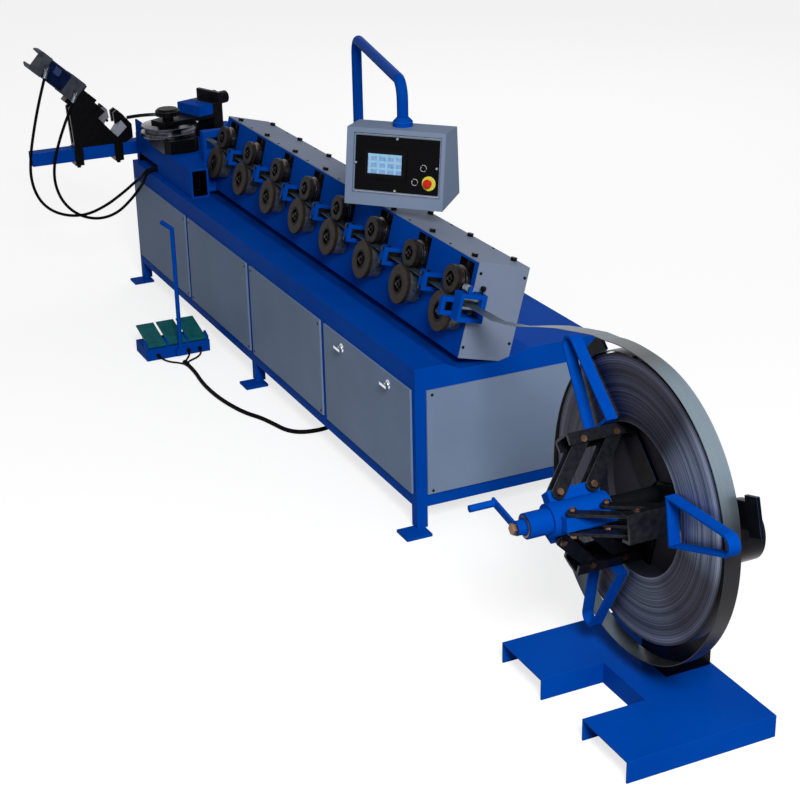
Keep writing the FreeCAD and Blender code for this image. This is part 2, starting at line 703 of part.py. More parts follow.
def coil():
    outer = rod((COIL_X, COIL_FRONT_Y, COIL_Z), (COIL_X, COIL_FRONT_Y + STRIP_W, COIL_Z), COIL_R)
    bore = rod((COIL_X, COIL_FRONT_Y - 1, COIL_Z), (COIL_X, COIL_FRONT_Y + STRIP_W + 1, COIL_Z),
               COIL_BORE_R)
    return outer.cut(bore)


def crank_handle():
    """Flat bar on the screw's end with a round grip, turned up to the left."""
    y0 = CRANK_Y - 16
    boss = rod((COIL_X, CRANK_Y + 12, COIL_Z), (COIL_X, y0, COIL_Z), 24)
    bar = box(COIL_X - CRANK_REACH - 14, COIL_X, y0, y0 + 9, COIL_Z - 13, COIL_Z + 13)
    grip = rod((COIL_X - CRANK_REACH, y0 + 1, COIL_Z), (COIL_X - CRANK_REACH, y0 - 86, COIL_Z), 12)
    return about_axis(boss.fuse(bar).fuse(grip), -CRANK_ANGLE)


def end_platform():
    """Raised box at the far end: nose beside the rolls, open mouth, hose door, side plate."""
    x0 = -CAB_L / 2
    main = box(x0, PLAT_X1, PLAT_Y0, PLAT_Y1, CAB_TOP, PLAT_TOP)
    nose = box(PLAT_X1, PLAT_NOSE_X1, PLAT_Y0, PLAT_NOSE_Y1, CAB_TOP, PLAT_TOP)
    mouth = box(PLAT_NOSE_X1 - 120, PLAT_NOSE_X1 + 1, PLAT_Y0 + PLAT_WALL, PLAT_NOSE_Y1 - PLAT_WALL,
                CAB_TOP + PLAT_WALL, PLAT_TOP - PLAT_WALL)
    door = box(HOSE_DOOR_X[0], HOSE_DOOR_X[1], PLAT_Y0 - 1, PLAT_Y0 + HOSE_DOOR_D, CAB_TOP,
               CAB_TOP + HOSE_DOOR_H)
    plate = box(SIDE_PLATE_X[0], SIDE_PLATE_X[1], PLAT_Y0, PLAT_Y0 + PLAT_WALL, CAB_TOP + HOSE_DOOR_H + 20,
                SIDE_PLATE_TOP)
    return main.fuse(nose).cut(mouth).cut(door).fuse(plate)


def strip_post():
    """Guide on its own bracket, in front of the first pair of rolls."""
    x0, x1 = STRIP_POST_X
    y0, y1 = STRIP_POST_Y
    frame = box(x0, x1, y0, y1, PLAT_TOP, STRIP_POST_TOP)
    gap = box(x0 - 1, x1 + 1, y0 + GUIDE_WALL, y1 - GUIDE_WALL, STRIP_POST_GAP[0], STRIP_POST_GAP[1])
    foot = box(x0 - 45, x0, y0, y1, PLAT_TOP, PLAT_TOP + 10)
    return frame.cut(gap).fuse(foot)


def shear_beam():
    y1 = PLAT_Y1
    x1 = -CAB_L / 2
    outer = box(BEAM_X0, x1, BEAM_Y0, y1, BEAM_Z0, BEAM_Z1)
    inner = box(BEAM_X0 + BEAM_WALL, x1 - BEAM_WALL, BEAM_Y0 - 1, y1 + 1,
                BEAM_Z0 + BEAM_WALL, BEAM_Z1 - BEAM_WALL)
    return outer.cut(inner)


def shear_axis(distance, side=0.0):
    """Point in the shear's plane, distance down the axis and side across it."""
    a = math.radians(SHEAR_ANGLE)
    y = SHEAR_CAP[0] + distance * math.cos(a) + side * math.sin(a)
    z = SHEAR_CAP[1] - distance * math.sin(a) + side * math.cos(a)
    return (y, z)


def shear_quad(half_x, corners):
    """Prism across the shear from corners given as (distance, side)."""
    points = [shear_axis(d, s) for d, s in corners]
    return prism([(SHEAR_X - half_x, y, z) for y, z in points], (2 * half_x, 0, 0))


def shear_bar(half_x, d0, d1, half):
    return shear_quad(half_x, [(d0, -half), (d1, -half), (d1, half), (d0, half)])


BODY_PLATE = [(-727.0, BEAM_Z1), (-741.0, 1030.0), (-655.0, 1112.0), (-541.0, 990.0),
              (-583.0, 959.0), (-506.0, 867.0), (-479.0, 839.0), (-423.0, 889.0),
              (-454.0, 932.0), (-474.0, 922.0), (-490.0, 914.0), (-496.0, 977.0),
              (-472.0, 992.0), (-445.0, 966.0), (-395.0, 903.0), (-393.0, 828.0),
              (-440.0, BEAM_Z1)]
FIXED_DIE = [(-506.0, 867.0), (-479.0, 839.0), (-423.0, 889.0), (-454.0, 932.0)]
RAM_DIE = [(-600.0, 962.0), (-556.0, 1030.0), (-523.0, 997.0), (-516.0, 950.0),
           (-541.0, 926.0), (-556.0, 896.0)]


def yz_prism(x0, x1, points):
    return prism([(x0, y, z) for y, z in points], (x1 - x0, 0, 0))


def shear_clamp(y):
    """Clamp around the beam under the shear: side bars, lower bar and its screw."""
    x0 = BEAM_X0 - 12
    x1 = -CAB_L / 2 + 12
    lower = box(x0, x1, y - 24, y + 24, BEAM_Z0 - CLAMP_DROP, BEAM_Z0)
    bolt = rod((x1 - 30, y, BEAM_Z0 - CLAMP_DROP - 16), (x1 - 30, y, BEAM_Z0 - CLAMP_DROP), 11)
    near = box(x1 - 12, x1, y - 24, y + 24, BEAM_Z0, BEAM_Z1)
    far = box(x0, x0 + 12, y - 24, y + 24, BEAM_Z0, BEAM_Z1)
    return lower.fuse(bolt).fuse(near).fuse(far)


def shear_frame():
    """Two hooked side plates on the beam, with the cylinder's mount on top."""
    near = yz_prism(SHEAR_X + SHEAR_SLOT, SHEAR_X + SHEAR_HALF, BODY_PLATE)
    far = yz_prism(SHEAR_X - SHEAR_HALF, SHEAR_X - SHEAR_SLOT, BODY_PLATE)
    base = box(SHEAR_X - SHEAR_SLOT, SHEAR_X + SHEAR_SLOT, BODY_PLATE[0][0], BODY_PLATE[-1][0],
               BEAM_Z1, BEAM_Z1 + 26)
    mount = shear_bar(SHEAR_MOUNT_HALF, SHEAR_CAP_D[1], SHEAR_MOUNT_D, SHEAR_MOUNT_HALF)
    ear = shear_quad(SHEAR_HALF, [(2, -86), (SHEAR_MOUNT_D - 8, -86), (SHEAR_MOUNT_D, -SHEAR_MOUNT_HALF),
                                  (SHEAR_CAP_D[1], -SHEAR_BLOCK), (2, -SHEAR_BLOCK)])
    window = shear_bar(SHEAR_SLOT + 6, SHEAR_CAP_D[1] - 1, SHEAR_MOUNT_D + 1, 38)
    shape = near.fuse(far).fuse(base).fuse(mount.cut(window)).fuse(ear)
    for y in CLAMP_Y:
        shape = shape.fuse(shear_clamp(y))
    return shape


def shear_dies():
    """Fixed blade held between the plates' hooks."""
    return yz_prism(SHEAR_X - SHEAR_SLOT, SHEAR_X + SHEAR_HALF - 4, FIXED_DIE)


def shear_cylinder():
    """Cylinder between two square blocks, with a forked rear end."""
    front = shear_bar(SHEAR_BLOCK, SHEAR_CAP_D[0], SHEAR_CAP_D[1], SHEAR_BLOCK)
    rear = shear_bar(SHEAR_BLOCK, SHEAR_REAR_D[0], SHEAR_REAR_D[1], SHEAR_BLOCK)
    y0, z0 = shear_axis(SHEAR_REAR_D[1] - 1)
    y1, z1 = shear_axis(SHEAR_CAP_D[0] + 1)
    shape = front.fuse(rod((SHEAR_X, y0, z0), (SHEAR_X, y1, z1), SHEAR_BORE_R)).fuse(rear)
    for s in (-1, 1):
        prong = shear_quad(SHEAR_BLOCK, [(SHEAR_REAR_D[0], s * 36), (SHEAR_REAR_D[0], s * SHEAR_BLOCK),
                                         (SHEAR_FORK_D + 18, s * SHEAR_BLOCK), (SHEAR_FORK_D, s * 50),
                                         (SHEAR_FORK_D, s * 40)])
        shape = shape.fuse(prong)
    for k in (0, 1):
        shape = shape.fuse(hose_fitting(k))
    return shape


def shear_ram():
    """Ram in the slot between the plates, with the moving blade on its end."""
    half = SHEAR_SLOT - SHEAR_SIDE
    bar = shear_bar(half, SHEAR_CAP_D[1] + SHEAR_SIDE, 150, 30)
    return bar.fuse(yz_prism(SHEAR_X - half, SHEAR_X + half, RAM_DIE))


def bending_base():
    x0, x1 = BEND_BASE_X
    y0, y1 = BEND_BASE_Y
    top = PLAT_TOP + BEND_BASE_H
    base = box(x0, x1, y0, y1, PLAT_TOP, top)
    corners = [(x0, y0), (x1, y0), (x0, y1), (x1, y1)]
    for x, y in corners:
        cut = Part.makeCylinder(26, BEND_BASE_H + 2, V(x, y, PLAT_TOP - 1))
        base = base.cut(cut)
    skirt = Part.makeCylinder(BEND_R - 22, 12, V(BEND_X, BEND_Y, top - 12))
    return base.fuse(skirt).cut(rod((BEND_X, BEND_Y, top - 45), (BEND_X, BEND_Y, top + 1), BEND_SHAFT_R + FIT))


def bend_z():
    """Underside of the bending roll, just clear of its base."""
    return PLAT_TOP + BEND_BASE_H + BRIDGE_GAP


def bending_roll():
    """Stack of polished discs on a vertical shaft, with a black cap above the bridge."""
    r = BEND_R
    g0, g1 = BEND_GROOVE
    top = BEND_H + 2 * BRIDGE_GAP + BRIDGE_T
    cap = top + CAP_LIFT
    outline = [(0, -42), (BEND_SHAFT_R, -42), (BEND_SHAFT_R, 0), (r - 3, 0), (r, 3), (r, g0 - 3),
               (r - 3, g0), (BEND_GROOVE_R, g0), (BEND_GROOVE_R, g1), (r - 8, g1), (r - 5, g1 + 3),
               (r - 5, BEND_H - 6), (r - 45, BEND_H), (BEND_SHAFT_R, BEND_H), (BEND_SHAFT_R, cap),
               (CAP_R, cap), (CAP_R, cap + CAP_H - 12), (CAP_R - 14, cap + CAP_H), (0, cap + CAP_H)]
    z0 = bend_z()
    wire = Part.makePolygon([V(BEND_X + a, BEND_Y, z0 + z) for a, z in outline + outline[:1]])
    return Part.Face(wire).revolve(V(BEND_X, BEND_Y, 0), V(0, 0, 1), 360)


def press_frame(shape):
    """Place a shape whose +Y leaves the bending roll's axis along the press cylinder."""
    out = shape.copy()
    out.rotate(V(0, 0, 0), V(0, 0, 1), PRESS_TURN)
    out.translate(V(BEND_X, BEND_Y, 0))
    return out


def press_cylinder():
    """Bridge over the bending roll that carries a block-shaped cylinder on a stand."""
    z0 = bend_z() + BEND_H + BRIDGE_GAP
    z1 = z0 + BRIDGE_T
    u0, u1, u2, u3, u4 = PRESS_U
    w = PRESS_W / 2
    outline = [(-58, -70, z0), (58, -70, z0), (w, u0, z0), (w, u3, z0), (-w, u3, z0), (-w, u0, z0)]
    bridge = prism(outline, (0, 0, BRIDGE_T)).cut(rod((0, 0, z0 - 1), (0, 0, z1 + 1), BEND_SHAFT_R + FIT))
    stand = box(-w, w, u2 - 40, u3, PLAT_TOP, z0)
    body = box(-w, w, u0, u2, z1, z1 + PRESS_H)
    flange = box(-w, w, u2, u3, z1, z1 + PRESS_FLANGE_H)
    zc = z1 + PRESS_FLANGE_H / 2
    end = rod((0, u3, zc), (0, u4, zc), PRESS_END_R)
    rim = rod((0, u3, zc), (0, u3 + 30, zc), PRESS_END_R + 14)
    return press_frame(bridge.fuse(stand).fuse(body).fuse(flange).fuse(end).fuse(rim))


def formed_flange():
    """Arc of a formed ring, leaving the groove of the bending roll."""
    a = math.radians(RING_TURN)
    seat = BEND_GROOVE_R + BRIDGE_GAP
    cx = BEND_X - (RING_R - seat) * math.cos(a)
    cy = BEND_Y - (RING_R - seat) * math.sin(a)
    z0 = bend_z() + BEND_GROOVE[0] + BRIDGE_GAP

    def at(r, degrees):
        t = math.radians(degrees)
        return V(cx + r * math.cos(t), cy + r * math.sin(t), z0)
    r = RING_R + RING_T
    out = [at(r, d) for d in RING_ANGLES]
    inn = [at(RING_R, d) for d in RING_ANGLES]
    edges = [Part.Arc(*out).toShape(), Part.makeLine(out[2], inn[2]),
             Part.Arc(inn[2], inn[1], inn[0]).toShape(), Part.makeLine(inn[0], out[0])]
    return Part.Face(Part.Wire(edges)).extrude(V(0, 0, RING_H))


def pendant_arm():
    top_p = V(POST_X, POST_Y, ARM_Z)
    top_d = V(PEND_X, PEND_Y, ARM_Z)
    along = (top_d - top_p).normalize()
    b = TUBE_BEND
    p0 = V(POST_X, POST_Y, CAB_TOP)
    k = b * (1 - math.cos(math.radians(45)))
    bend1 = top_p + V(0, 0, -k) + along * k
    bend2 = top_d + V(0, 0, -k) - along * k
    edges = [Part.makeLine(p0, top_p + V(0, 0, -b)),
             Part.Arc(top_p + V(0, 0, -b), bend1, top_p + along * b).toShape(),
             Part.makeLine(top_p + along * b, top_d - along * b),
             Part.Arc(top_d - along * b, bend2, top_d + V(0, 0, -b)).toShape(),
             Part.makeLine(top_d + V(0, 0, -b), V(PEND_X, PEND_Y, COLLAR_Z + 3))]
    path = Part.Wire(edges)
    ring = Part.Wire(Part.makeCircle(TUBE_R, p0, V(0, 0, 1)))
    tube = path.makePipeShell([ring], True, False)
    flange = box(POST_X - 70, POST_X + 70, POST_Y - 45, POST_Y + 60, CAB_TOP, CAB_TOP + 12)
    return tube.fuse(flange)


def pendant_frame(shape):
    """Place a shape whose +X is the pendant's front normal, origin at the collar."""
    out = shape.copy()
    out.rotate(V(0, 0, 0), V(0, 0, 1), -PEND_AZ)
    out.translate(V(PEND_X, PEND_Y, COLLAR_Z))
    return out


def face_frame(shape):
    """Place a shape given on the sloping front: x out of it, y across, z up from its top edge."""
    out = shape.copy()
    out.rotate(V(0, 0, 0), V(0, 1, 0), -PEND_TILT)
    out.translate(V(PEND_FRONT, 0, 0))
    return out


def face_box(across, down, out):
    return face_frame(box(out[0], out[1], across[0], across[1], -down[1], -down[0]))


def face_disc(across, down, out, radius):
    return face_frame(rod((out[0], across, -down), (out[1], across, -down), radius))


def pendant_box():
    t = math.tan(math.radians(PEND_TILT))
    f = PEND_FRONT
    profile = [(f, 0.0), (f + PEND_H * t, -PEND_H), (f - PEND_BACK_D, -PEND_BACK_H),
               (f - PEND_TOP_D - 12, 0.0)]
    body = prism([(x, -PEND_W / 2, z) for x, z in profile], (0, PEND_W, 0))
    body = body.cut(face_box(POCKET_Y, POCKET_S, (-POCKET_D, 20)))
    collar = rod((0, 0, -0.5), (0, 0, COLLAR_BAND), COLLAR_R)
    collar = collar.fuse(Part.makeCone(COLLAR_R, COLLAR_NECK, COLLAR_H - COLLAR_BAND, V(0, 0, COLLAR_BAND)))
    bore = rod((0, 0, 2.0), (0, 0, COLLAR_H + 1), TUBE_R + FIT)
    return pendant_frame(body.fuse(collar).cut(bore))


def control_panel():
    """Panel in the front's pocket: screen in its bezel, two selector knobs, stop button, catches."""
    base = -POCKET_D + PANEL_SHEET
    panel = face_box(PANEL_Y, PANEL_S, (-POCKET_D, base))
    bezel = face_box(BEZEL_Y, BEZEL_S, (base, base + BEZEL_T))
    bezel = bezel.cut(face_box(SCREEN_Y, SCREEN_S, (base + BEZEL_T - 2, base + BEZEL_T + 1)))
    screen = face_box(SCREEN_Y, SCREEN_S, (base + BEZEL_T - 2, base + BEZEL_T - 1))
    shapes = [panel.fuse(bezel), screen]
    for y, s in KNOBS:
        ring = face_disc(y, s, (base, base + 4), KNOB_R)
        grip = face_disc(y, s, (base + 4, base + 12), KNOB_R - 4)
        bar = face_box((y - 3, y + 3), (s - KNOB_R + 2, s + KNOB_R - 2), (base + 4, base + 20))
        shapes.append(ring.fuse(grip).fuse(bar))
    y, s = STOP_AT
    shapes.append(face_disc(y, s, (base, base + 3), STOP_DISC_R))
    stem = face_disc(y, s, (base + 3, base + 16), STOP_HEAD_R - 5)
    shapes.append(stem.fuse(face_disc(y, s, (base + 16, base + 26), STOP_HEAD_R)))
    for y, s in CATCHES:
        shapes.append(face_disc(y, s, (base, base + 8), 6))
    return [pendant_frame(shape) for shape in shapes]


def pedal_y(k):
    return PEDAL_Y0 + PEDAL_EAR + k * PEDAL_STEP


def pedal_base():
    """Box with the pedals' hinge rod on ears, and the carrying handle."""
    body = box(PEDAL_X0, PEDAL_X1, PEDAL_Y0, PEDAL_Y1, 0, PEDAL_H)
    for k in range(4):
        y0 = pedal_y(k) - PEDAL_EAR
        cheek = [(HINGE_X - PEDAL_CHEEK, y0, PEDAL_H), (HINGE_X + 9, y0, PEDAL_H), (HINGE_X + 9, y0, HINGE_Z + 9),
                 (HINGE_X - PEDAL_CHEEK, y0, HINGE_Z + 26)]
        ear = prism(cheek, (0, PEDAL_EAR - 1, 0))
        body = body.fuse(ear)
    body = body.fuse(rod((HINGE_X, PEDAL_Y0, HINGE_Z), (HINGE_X, pedal_y(3) - 1, HINGE_Z), HINGE_R))
    hx = PEDAL_X1 + HANDLE_R
    lug = box(PEDAL_X1, hx + HANDLE_R, HANDLE_Y - 25, HANDLE_Y + 25, 8, 48)
    post = rod((hx, HANDLE_Y, 30), (hx, HANDLE_Y, HANDLE_TOP), HANDLE_R)
    bend = V(0, HANDLE_BEND[0], HANDLE_BEND[1])
    knee = Part.makeSphere(HANDLE_R, V(0, 0, 0), bend)
    top = Part.makeCylinder(HANDLE_R, bend.Length, V(0, 0, 0), bend)
    grip = knee.fuse(top)
    grip.translate(V(hx, HANDLE_Y, HANDLE_TOP))
    return body.fuse(lug).fuse(post).fuse(grip)


def pedal(k):
    """Folded pedal plate on its hinge barrel, sloping up to the back."""
    y0 = pedal_y(k)
    w = PEDAL_STEP - PEDAL_EAR - 1
    back_z = HINGE_Z + PEDAL_RISE
    pts = [(HINGE_X - 6, HINGE_Z + 2), (PEDAL_X0 - PEDAL_OVER, back_z), (PEDAL_X0 - PEDAL_OVER, back_z + 7),
           (HINGE_X - 2, HINGE_Z + 9)]
    plate = prism([(x, y0, z) for x, z in pts], (0, w, 0))
    barrel = rod((HINGE_X, y0, HINGE_Z), (HINGE_X, y0 + w, HINGE_Z), 9)
    bore = rod((HINGE_X, y0 - 1, HINGE_Z), (HINGE_X, y0 + w + 1, HINGE_Z), HINGE_R + FIT)
    slot = box(HINGE_X - PEDAL_SLOT[1], HINGE_X - PEDAL_SLOT[0], y0 + w / 2 - 24, y0 + w / 2 + 24, HINGE_Z, back_z)
    return plate.fuse(barrel).cut(bore).cut(slot)


def cord_tube(name, route, r):
    """Tube along straight runs joined by tangent arcs, as large as the runs allow."""
    points = [V(*p) for p in route]
    edges = []
    radii = []
    start = points[0]
    for k in range(1, len(points) - 1):
        back = (points[k - 1] - points[k]).normalize()
        ahead = (points[k + 1] - points[k]).normalize()
        turn = math.pi - back.getAngle(ahead)
        cut = 0.45 * min((points[k] - points[k - 1]).Length, (points[k + 1] - points[k]).Length)
        radius = cut / math.tan(turn / 2)
        radii.append(round(radius))
        p0 = points[k] + back * cut
        p1 = points[k] + ahead * cut
        middle = (back + ahead).normalize()
        centre = points[k] + middle * (radius / math.cos(turn / 2))
        edges.append(Part.makeLine(start, p0))
        edges.append(Part.Arc(p0, centre - middle * radius, p1).toShape())
        start = p1
    edges.append(Part.makeLine(start, points[-1]))
    path = Part.Wire(edges)
    ring = Part.Wire(Part.makeCircle(r, points[0], (points[1] - points[0]).normalize()))
    tube = path.makePipeShell([ring], True, False)
    share = tube.Volume / (math.pi * r * r * path.Length)
    print("%s: length %.0f, volume share %.3f, radii %s" % (name, path.Length, share, radii))
    return tube


def hose_route(k):
    return [(FAR_X + x, y, z) for x, y, z in HOSES[k]]


def hose(k):
    return cord_tube("hose %d" % (k + 1), hose_route(k), HOSE_R)


def hose_fitting(k):
    """Elbow on the cylinder's block with the crimped sleeve that the hose comes out of."""
    route = hose_route(k)
    seat = V(*route[0])
    down = (V(*route[1]) - seat).normalize()
    top = seat - down * SLEEVE_L
    elbow = rod((SHEAR_X + SHEAR_BLOCK - 4, top.y, top.z), (top.x + ELBOW_R, top.y, top.z), ELBOW_R)
    return elbow.fuse(rod(tuple(top), tuple(seat), SLEEVE_R))


def main():
    os.makedirs("parts", exist_ok=True)
    save("cabinet_body", cabinet_body())
    save("cabinet_feet", cabinet_feet())
    save("front_panels", [panel(panel_right(i)) for i in range(1, PANEL_COUNT)])
    save("access_door", panel(panel_right(0)))
    save("door_latch_left", latch(latch_x(-1)))
    save("door_latch_right", latch(latch_x(1)))
    save("back_panels", [panel(panel_right(i), False) for i in range(PANEL_COUNT)])
    save("end_panels", [end_panel(-1), end_panel(1)])
    save("roll_housing", roll_housing())
    save("front_plate", front_plate())
    save("bearing_blocks", [chock(i) for i in range(STATIONS)])
    save("stand_covers", stand_covers())
    save("adjusting_screws", adjusting_screws())
    for i in range(STATIONS):
        save("lower_roll_%d" % (i + 1), lower_roll(i))
        save("upper_roll_%d" % (i + 1), upper_roll(i))
    save("side_guides", [side_guide(i) for i in range(STATIONS - 1)] + [strip_post()])
    save("entry_guide", entry_guide())
    save("lead_strip", lead_strip())
    save("strip_loop", strip_loop())
    save("decoiler_base", decoiler_base())
    save("decoiler_pedestal", decoiler_pedestal())
    save("mandrel", mandrel())
    save("mandrel_segments", mandrel_segments())
    save("mandrel_arms", [about_axis(arm, a) for a in ARM_ANGLES for arm in (front_arm(), rear_arm())])
    save("coil", coil())
    save("crank_handle", crank_handle())
    save("end_platform", end_platform())
    save("shear_beam", shear_beam())
    save("shear_frame", shear_frame())
    save("shear_dies", shear_dies())
    save("shear_cylinder", shear_cylinder())
    save("shear_ram", shear_ram())
    for k in (0, 1):
        save("hose_%d" % (k + 1), hose(k))
    save("bending_base", bending_base())
    save("bending_roll", bending_roll())
    save("press_cylinder", press_cylinder())
    save("formed_flange", formed_flange())
    save("pendant_arm", pendant_arm())
    save("pendant_box", pendant_box())
    save("control_panel", control_panel())
    save("pedal_base", pedal_base())
    save("pedal_cable", [cord_tube("pedal cable", CABLE, CABLE_R)]
         + [cord_tube("pedal lead", lead, LEAD_R) for lead in PEDAL_LEADS])
    for k in range(3):
        save("pedal_%d" % (k + 1), pedal(k))


main()
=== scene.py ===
import json
import math

import bmesh
import bpy
from mathutils import Matrix, Vector


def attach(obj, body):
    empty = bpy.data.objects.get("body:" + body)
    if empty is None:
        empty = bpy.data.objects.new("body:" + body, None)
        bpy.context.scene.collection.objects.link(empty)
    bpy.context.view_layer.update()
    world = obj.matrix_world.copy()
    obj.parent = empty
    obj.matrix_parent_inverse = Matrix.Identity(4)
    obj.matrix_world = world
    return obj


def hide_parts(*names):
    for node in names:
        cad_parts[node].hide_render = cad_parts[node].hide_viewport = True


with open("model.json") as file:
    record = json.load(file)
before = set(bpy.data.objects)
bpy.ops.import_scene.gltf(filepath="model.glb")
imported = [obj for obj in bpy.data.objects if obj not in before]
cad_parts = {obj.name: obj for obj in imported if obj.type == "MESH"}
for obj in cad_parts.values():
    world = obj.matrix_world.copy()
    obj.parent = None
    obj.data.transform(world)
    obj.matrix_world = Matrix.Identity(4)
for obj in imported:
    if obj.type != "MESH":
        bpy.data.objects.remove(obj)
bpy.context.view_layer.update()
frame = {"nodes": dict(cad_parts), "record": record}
nodes = frame["nodes"]


# Camera

CAMERA_AT = (7.3096, -3.0407, 3.1385)
CAMERA_TURN = (25.0535, 22.8043, -1.2598)
LENS_MM = 76.604


def add_object(name, data):
    made = bpy.data.objects.new(name, data)
    bpy.context.scene.collection.objects.link(made)
    return made


def aim_camera():
    """Long lens from the decoiler end, above the operator's side."""
    yaw, pitch, roll = (math.radians(v) for v in CAMERA_TURN)
    level = math.cos(pitch)
    fwd = Vector((-math.cos(yaw) * level, math.sin(yaw) * level, -math.sin(pitch)))
    right = fwd.cross(Vector((0, 0, 1))).normalized()
    up = right.cross(fwd)
    x = right * math.cos(roll) + up * math.sin(roll)
    y = up * math.cos(roll) - right * math.sin(roll)
    turn = Matrix((x, y, -fwd)).transposed().to_4x4()
    lens = bpy.data.cameras.new("camera")
    lens.sensor_width = 36.0
    lens.lens = LENS_MM
    lens.clip_end = 60.0
    camera = add_object("camera", lens)
    camera.matrix_world = Matrix.Translation(CAMERA_AT) @ turn
    bpy.context.scene.camera = camera


aim_camera()


# Hoses and the pedal cable: points along each, lengths and radii in metres

HOSE_LENGTHS = (1.60, 1.385)
HOSE_R = 0.008
CABLE_R = 0.010
LEAD_LENGTHS = (0.171, 0.151, 0.187)
LEAD_R = 0.005
HOSES = (
    ((-1.773, -0.868, 1.220), (-1.773, -0.893, 1.150), (-1.774, -0.928, 1.040), (-1.771, -0.962, 0.920),
     (-1.766, -0.991, 0.800), (-1.760, -1.003, 0.680), (-1.752, -0.977, 0.570), (-1.745, -0.915, 0.493),
     (-1.736, -0.820, 0.450), (-1.724, -0.715, 0.446), (-1.707, -0.605, 0.490), (-1.687, -0.505, 0.558),
     (-1.650, -0.440, 0.622), (-1.585, -0.430, 0.656), (-1.525, -0.432, 0.694), (-1.490, -0.397, 0.726),
     (-1.478, -0.345, 0.727), (-1.476, -0.2873, 0.727)),
    ((-1.770, -0.727, 1.072), (-1.769, -0.750, 1.025), (-1.767, -0.786, 0.955), (-1.762, -0.829, 0.860),
     (-1.752, -0.868, 0.752), (-1.737, -0.880, 0.640), (-1.718, -0.846, 0.530), (-1.698, -0.766, 0.452),
     (-1.678, -0.664, 0.424), (-1.655, -0.565, 0.450), (-1.630, -0.485, 0.525), (-1.595, -0.437, 0.598),
     (-1.535, -0.434, 0.644), (-1.492, -0.432, 0.694), (-1.464, -0.397, 0.724), (-1.454, -0.345, 0.725),
     (-1.452, -0.2873, 0.725)))
CABLE = ((0.706, -0.265, 0.1024), (0.707, -0.266, 0.076), (0.708, -0.272, 0.045), (0.710, -0.296, 0.020),
         (0.712, -0.338, 0.011), (0.711, -0.398, 0.0104), (0.693, -0.460, 0.0104), (0.640, -0.503, 0.0104),
         (0.550, -0.525, 0.0104), (0.455, -0.551, 0.0104), (0.370, -0.594, 0.0104), (0.248, -0.625, 0.0104),
         (0.098, -0.646, 0.0104), (-0.078, -0.650, 0.0104), (-0.262, -0.629, 0.0104),
         (-0.372, -0.633, 0.0104))
PEDAL_LEADS = (
    ((-0.372, -0.6382, 0.0054), (-0.406, -0.657, 0.0054), (-0.432, -0.689, 0.0056), (-0.456, -0.714, 0.011),
     (-0.484, -0.730, 0.020), (-0.5091, -0.733, 0.024)),
    ((-0.372, -0.633, 0.0156), (-0.399, -0.625, 0.014), (-0.426, -0.609, 0.011), (-0.454, -0.590, 0.013),
     (-0.482, -0.575, 0.021), (-0.5091, -0.572, 0.024)),
    ((-0.372, -0.6278, 0.0054), (-0.399, -0.613, 0.0054), (-0.417, -0.586, 0.0054), (-0.435, -0.553, 0.0056),
     (-0.457, -0.526, 0.011), (-0.484, -0.514, 0.020), (-0.5091, -0.512, 0.024)))


def cord_curve(name, route, radius, finish):
    """Round cord on one smooth NURBS spline with the route's points as its control points."""
    data = bpy.data.curves.new(name, "CURVE")
    data.dimensions = "3D"
    data.bevel_depth = radius
    data.bevel_resolution = 5
    data.use_fill_caps = True
    spline = data.splines.new("NURBS")
    spline.points.add(len(route) - 1)
    for point, place in zip(spline.points, route):
        point.co = (*place, 1.0)
    spline.order_u = 3
    spline.use_endpoint_u = True
    spline.resolution_u = 10
    data.materials.append(finish)
    cord = add_object(name, data)
    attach(cord, "machine")
    return cord


# Material tools

def linear(code):
    """Linear colour of an sRGB hex code such as #0a4b9c."""
    out = []
    for k in (1, 3, 5):
        v = int(code[k:k + 2], 16) / 255
        out.append(v / 12.92 if v <= 0.04045 else ((v + 0.055) / 1.055) ** 2.4)
    return (*out, 1.0)


def put(tree, kind, sockets=None, **settings):
    """Add a node, give it its settings, and set or link its inputs."""
    n = tree.nodes.new(kind)
    for key, value in settings.items():
        setattr(n, key, value)
    for key, value in (sockets or {}).items():
        if isinstance(value, bpy.types.NodeSocket):
            tree.links.new(value, n.inputs[key])
        else:
            n.inputs[key].default_value = value
    return n


def calc(tree, operation, *values):
    """Result of a Math node."""
    return put(tree, "ShaderNodeMath", dict(enumerate(values)), operation=operation).outputs[0]


def fold(tree, operation, *values):
    """Values taken together one after another: MULTIPLY for all of some masks, MAXIMUM for any of them."""
    out = values[0]
    for value in values[1:]:
        out = calc(tree, operation, out, value)
    return out


def vector_calc(tree, operation, *values):
    """Result of a Vector Math node: a number for a dot product or a length, else a vector."""
    n = put(tree, "ShaderNodeVectorMath", dict(enumerate(values)), operation=operation)
    return n.outputs["Value" if operation in ("DOT_PRODUCT", "LENGTH") else "Vector"]


def axes_of(tree, place):
    """The three coordinates of a place."""
    return put(tree, "ShaderNodeSeparateXYZ", {"Vector": place}).outputs


def start_material(name, roughness, metallic=0.0, gloss=0.5):
    """A material with its shader, and Object coordinates in metres."""
    m = bpy.data.materials.new(name)
    m.use_nodes = True
    tree = m.node_tree
    tree.nodes.clear()
    shader = put(tree, "ShaderNodeBsdfPrincipled", {"Roughness": roughness, "Metallic": metallic,
                                                    "Specular IOR Level": gloss})
    put(tree, "ShaderNodeOutputMaterial", {"Surface": shader.outputs[0]})
    place = put(tree, "ShaderNodeTexCoord").outputs["Object"]
    return m, tree, shader, place


def feed(tree, shader, colour, roughness=None, metallic=None):
    """Link a colour to the shader, and its roughness and metallic share where they vary."""
    for label, source in (("Base Color", colour), ("Roughness", roughness), ("Metallic", metallic)):
        if source is not None:
            tree.links.new(source, shader.inputs[label])


